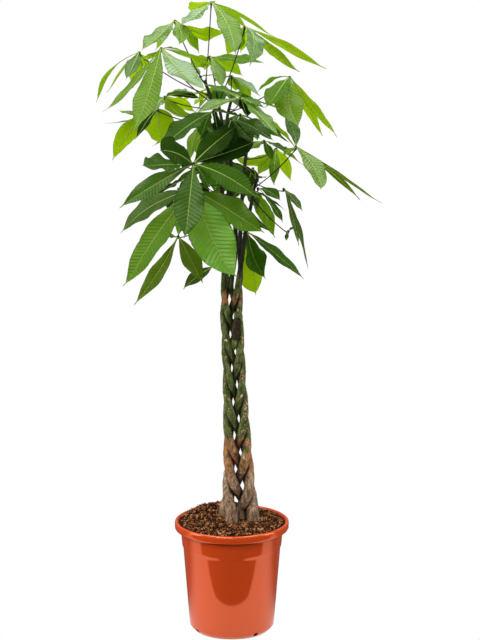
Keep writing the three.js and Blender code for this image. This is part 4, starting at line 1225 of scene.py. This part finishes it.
def scatter_chips(material, trunk_feet):
    """Bark chips and crumbs lie all over the peat, round the trunks' feet."""
    draw = random.Random(CHIP_SEED)
    vertices, faces, tones = [], [], []
    for number in range(CHIPS + CRUMBS):
        big = number < CHIPS
        radius = (SOIL_RADIUS - CHIP_MARGIN) * math.sqrt(draw.random())
        angle = draw.uniform(0, TAU)
        x, y = radius * math.cos(angle), radius * math.sin(angle)
        length = draw.uniform(*(CHIP_LENGTH if big else CRUMB_LENGTH))
        if radius + length / 2 > SOIL_RADIUS:
            continue
        if any(math.hypot(x - fx, y - fy) < CLEAR_OF_TRUNK for fx, fy in trunk_feet):
            continue
        width = length * draw.uniform(*CHIP_WIDTH)
        shape, sides = chip_shape(draw, length, width, length * draw.uniform(*CHIP_THICKNESS))
        turn = Matrix.Rotation(draw.uniform(0, TAU), 3, "Z")
        tilt = Matrix.Rotation(draw.gauss(0, CHIP_TILT), 3, "X")
        tilt = turn @ tilt @ Matrix.Rotation(draw.gauss(0, CHIP_ROLL), 3, "Y")
        ground = Vector((x, y, soil_height(x, y) + draw.uniform(*CHIP_LIFT)))
        bright = big and draw.random() < BRIGHT_CHIPS
        tone = min(max(draw.gauss(BRIGHT_TONE if bright else DARK_TONE, TONE_SPREAD), 0), 1)
        start = len(vertices)
        vertices.extend(ground + tilt @ Vector(point) for point in shape)
        faces.extend(tuple(start + i for i in side) for side in sides)
        tones.extend([tone] * len(shape))
    piece = new_piece("bark_chips", [v * MM for v in vertices], faces, [material], smooth=False)
    set_values(piece, "tone", tones)


# ---------------------------------------------------------------- pot

POT_SECTORS = 192
POT_OUTSIDE = [  # radius and height, up the outside and down the inside
    (0, 1.2), (60, 1.2), (82, 1.0), (85, 0), (89, 0), (91.5, 0.8), (98.4, 8.6), (100.0, 11.0),
    (100.7, 14.0), (107.9, 108.0), (114.9, 198.6), (115.4, 201.0), (117.3, 206.2), (117.75, 208.4),
    (117.95, 211.0), (120.5, 239.0), (121.0, 243.6), (122.2, 245.6), (125.0, 246.4), (131.4, 246.6),
    (133.6, 247.4), (134.6, 249.4), (134.75, 252.0), (135.0, 260.6), (134.3, 263.2), (132.4, 264.7),
    (130.4, 265.0), (128.2, 264.6), (126.6, 263.0), (125.6, 259.5), (124.4, 254.0), (121.0, 249.0),
    (118.2, 245.0), (114.6, 208.0), (112.2, 202.0), (97.5, 14.0), (86.0, 4.0), (0, 4.0),
]
CREASE_ANGLE = 38  # degrees, from which an edge stays sharp
DRAINS, DRAIN_BEARING, DRAIN_RADIUS = 4, 35, 96
DRAIN_LENGTH, DRAIN_WIDTH, DRAIN_HEIGHT = 30, 13, 9
DRAIN_SEGMENTS = 20


def make_pot(material):
    """The moulded pot, turned from its outline, with slots cut through its foot."""
    ring = bmesh.new()
    rows = []
    for radius, height in POT_OUTSIDE:
        count = POT_SECTORS if radius else 1
        rows.append([ring.verts.new(point) for point in circle(radius * MM, height * MM, count)])
    for low, high in zip(rows, rows[1:]):
        for j in range(POT_SECTORS):
            k = (j + 1) % POT_SECTORS
            corners = [low[0]] if len(low) == 1 else [low[j], low[k]]
            corners += [high[0]] if len(high) == 1 else [high[k], high[j]]
            ring.faces.new(corners)
    mesh = bpy.data.meshes.new("pot_body")
    ring.to_mesh(mesh)
    ring.free()
    mesh.materials.append(material)
    pot = link("pot_body", mesh)
    for number in range(DRAINS):
        cut_drain(pot, math.radians(DRAIN_BEARING) + TAU * number / DRAINS)
    shade_by_angle(pot, CREASE_ANGLE)
    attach(pot, "root")
    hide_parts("pot")


def cut_drain(pot, bearing):
    cutter = bmesh.new()
    size = Matrix.Diagonal((DRAIN_LENGTH * MM, DRAIN_WIDTH * MM / 2, DRAIN_HEIGHT * MM / 2, 1))
    place = Matrix.Translation((DRAIN_RADIUS * MM, 0, DRAIN_HEIGHT * MM))
    middle = Matrix.Rotation(bearing, 4, "Z") @ place
    bmesh.ops.create_cone(cutter, cap_ends=True, segments=DRAIN_SEGMENTS, radius1=1, radius2=1, depth=1)
    bmesh.ops.transform(cutter, matrix=Matrix.Rotation(math.pi / 2, 4, "Y"), verts=cutter.verts)
    bmesh.ops.transform(cutter, matrix=middle @ size, verts=cutter.verts)
    mesh = bpy.data.meshes.new("drain_cutter")
    cutter.to_mesh(mesh)
    cutter.free()
    tool = link("drain_cutter", mesh)
    cut = pot.modifiers.new("drain", "BOOLEAN")
    cut.operation = "DIFFERENCE"
    cut.solver = "EXACT"
    cut.object = tool
    bpy.context.view_layer.update()
    apply_modifiers(pot)
    bpy.data.objects.remove(tool)


def apply_modifiers(piece):
    evaluated = piece.evaluated_get(bpy.context.evaluated_depsgraph_get())
    mesh = bpy.data.meshes.new_from_object(evaluated)
    piece.modifiers.clear()
    piece.data = mesh


def shade_by_angle(piece, degrees):
    """Smooth shading, with creases where faces meet at more than an angle."""
    mesh = piece.data
    mesh.polygons.foreach_set("use_smooth", [True] * len(mesh.polygons))
    shape = bmesh.new()
    shape.from_mesh(mesh)
    for edge in shape.edges:
        if len(edge.link_faces) == 2:
            edge.smooth = edge.calc_face_angle(0) < math.radians(degrees)
    shape.to_mesh(mesh)
    shape.free()


# ---------------------------------------------------------------- stage and light, in metres

FLOOR_SIDE = 60
WORLD_SEEN = 1.0  # brightness of the backdrop in the picture
WORLD_FILL = 0.11  # and as a light
WORLD_MIRRORED = 0.35  # and in a shine
LAMPS = [
    # name, place, aim, width, height, power in watts
    ("overhead", (0.0, 0.3, 3.3), (0, 0.3, 0), 3.0, 3.0, 118),
    ("front_top", (-0.9, -2.9, 3.3), (0, 0, 0.7), 2.0, 1.4, 78),
    ("backdrop", (0.0, 3.0, 1.5), (0, 0, 1.5), 4.5, 3.2, 74),
    ("left_box", (-2.3, -0.5, 1.2), (0, 0, 0.6), 1.0, 2.2, 32),
    ("right_box", (2.4, -0.4, 1.3), (0, 0, 0.6), 1.0, 2.2, 28),
]


def sheet(name, vertices, faces, material):
    mesh = bpy.data.meshes.new(name)
    mesh.from_pydata(vertices, [], faces)
    mesh.materials.append(material)
    return link(name, mesh)


def add_floor():
    half = FLOOR_SIDE / 2
    corners = [(-half, -half, 0), (half, -half, 0), (half, half, 0), (-half, half, 0)]
    floor = sheet("floor", corners, [(0, 1, 2, 3)], floor_material())


FLAG_NEAR, FLAG_FAR = -0.255, -3.5
FLAG_HALF_WIDTH = 2.5
FLAG_BEND, FLAG_BEND_WIDTH = 0.085, 0.50  # its near edge comes closer to the pot at the sides
FLAG_STRIPS = 40
FLAG_HEIGHT = 0.002


def add_flag():
    """Dark ground in front of the white sweep, out of sight but mirrored by the pot."""
    vertices = []
    for i in range(FLAG_STRIPS + 1):
        x = FLAG_HALF_WIDTH * (2 * i / FLAG_STRIPS - 1) ** 3
        near = FLAG_NEAR + FLAG_BEND * (1 - math.exp(-(x / FLAG_BEND_WIDTH) ** 4))
        vertices += [(x, FLAG_FAR, FLAG_HEIGHT), (x, near, FLAG_HEIGHT)]
    faces = [(2 * i, 2 * i + 2, 2 * i + 3, 2 * i + 1) for i in range(FLAG_STRIPS)]
    s = Shader("flag_black")
    mottle = s.mix(s.noise(4, 2), (0.004, 0.004, 0.004), (0.008, 0.008, 0.008))
    flag = sheet("flag", vertices, faces, s.finish(s.skin(mottle, 1.0, 0.0).outputs[0]))
    flag.visible_camera = False
    flag.visible_diffuse = False
    flag.visible_shadow = False


def add_lamps():
    for name, place, aim, width, height, power in LAMPS:
        data = bpy.data.lights.new(name, "AREA")
        data.shape = "RECTANGLE"
        data.size = width
        data.size_y = height
        data.energy = power
        lamp = link(name, data)
        lamp.location = place
        lamp.rotation_euler = (Vector(aim) - Vector(place)).to_track_quat("-Z", "Y").to_euler()
        lamp.visible_camera = False
        lamp.visible_glossy = name != "backdrop"


def add_world():
    """White where it is seen, and softer as a light."""
    world = bpy.data.worlds.new("studio")
    world.use_nodes = True
    tree = world.node_tree
    background = tree.nodes["Background"]
    background.inputs["Color"].default_value = (1, 1, 1, 1)
    rays = tree.nodes.new("ShaderNodeLightPath")
    seen, shine = [tree.nodes.new("ShaderNodeMapRange") for _ in range(2)]
    seen.inputs["To Max"].default_value = WORLD_SEEN
    shine.inputs["To Min"].default_value = WORLD_FILL
    shine.inputs["To Max"].default_value = WORLD_MIRRORED
    tree.links.new(rays.outputs["Is Camera Ray"], seen.inputs["Value"])
    tree.links.new(rays.outputs["Is Glossy Ray"], shine.inputs["Value"])
    tree.links.new(shine.outputs[0], seen.inputs["To Min"])
    tree.links.new(seen.outputs[0], background.inputs["Strength"])
    bpy.context.scene.world = world


# ---------------------------------------------------------------- the plant

add_camera()
add_world()
add_floor()
add_flag()
add_lamps()
bpy.context.scene.view_settings.view_transform = "Standard"

MIDRIB = stem_material("midrib", (0.34, 0.46, 0.09), (0.22, 0.34, 0.05))
STALK = stem_material("leaf_stalk", (0.020, 0.024, 0.003), (0.014, 0.008, 0.003))
BLADES = {look: blade_material("blade_" + look, *values) for look, values in BLADE_LOOKS.items()}
bark = bark_material()
trunk_lines = [fine_line(trunk_number) for trunk_number in range(TRUNKS)]
for trunk_number in range(TRUNKS):
    make_trunk(trunk_number, trunk_lines, bark)
for stub in STUBS:
    add_stub(*stub, bark)

stalk_lines = [coarse_line(trunk_number) for trunk_number in range(TRUNKS)]
for leaf_number, leaf_entry in enumerate(LEAVES, start=1):
    make_leaf(leaf_number, leaf_entry, stalk_lines[leaf_entry[0] - 1])

make_soil(soil_material())
feet = [plait_point(trunk_number, SOIL_CROWN)[:2] for trunk_number in range(TRUNKS)]
scatter_chips(chip_material(), feet)
make_pot(pot_material())
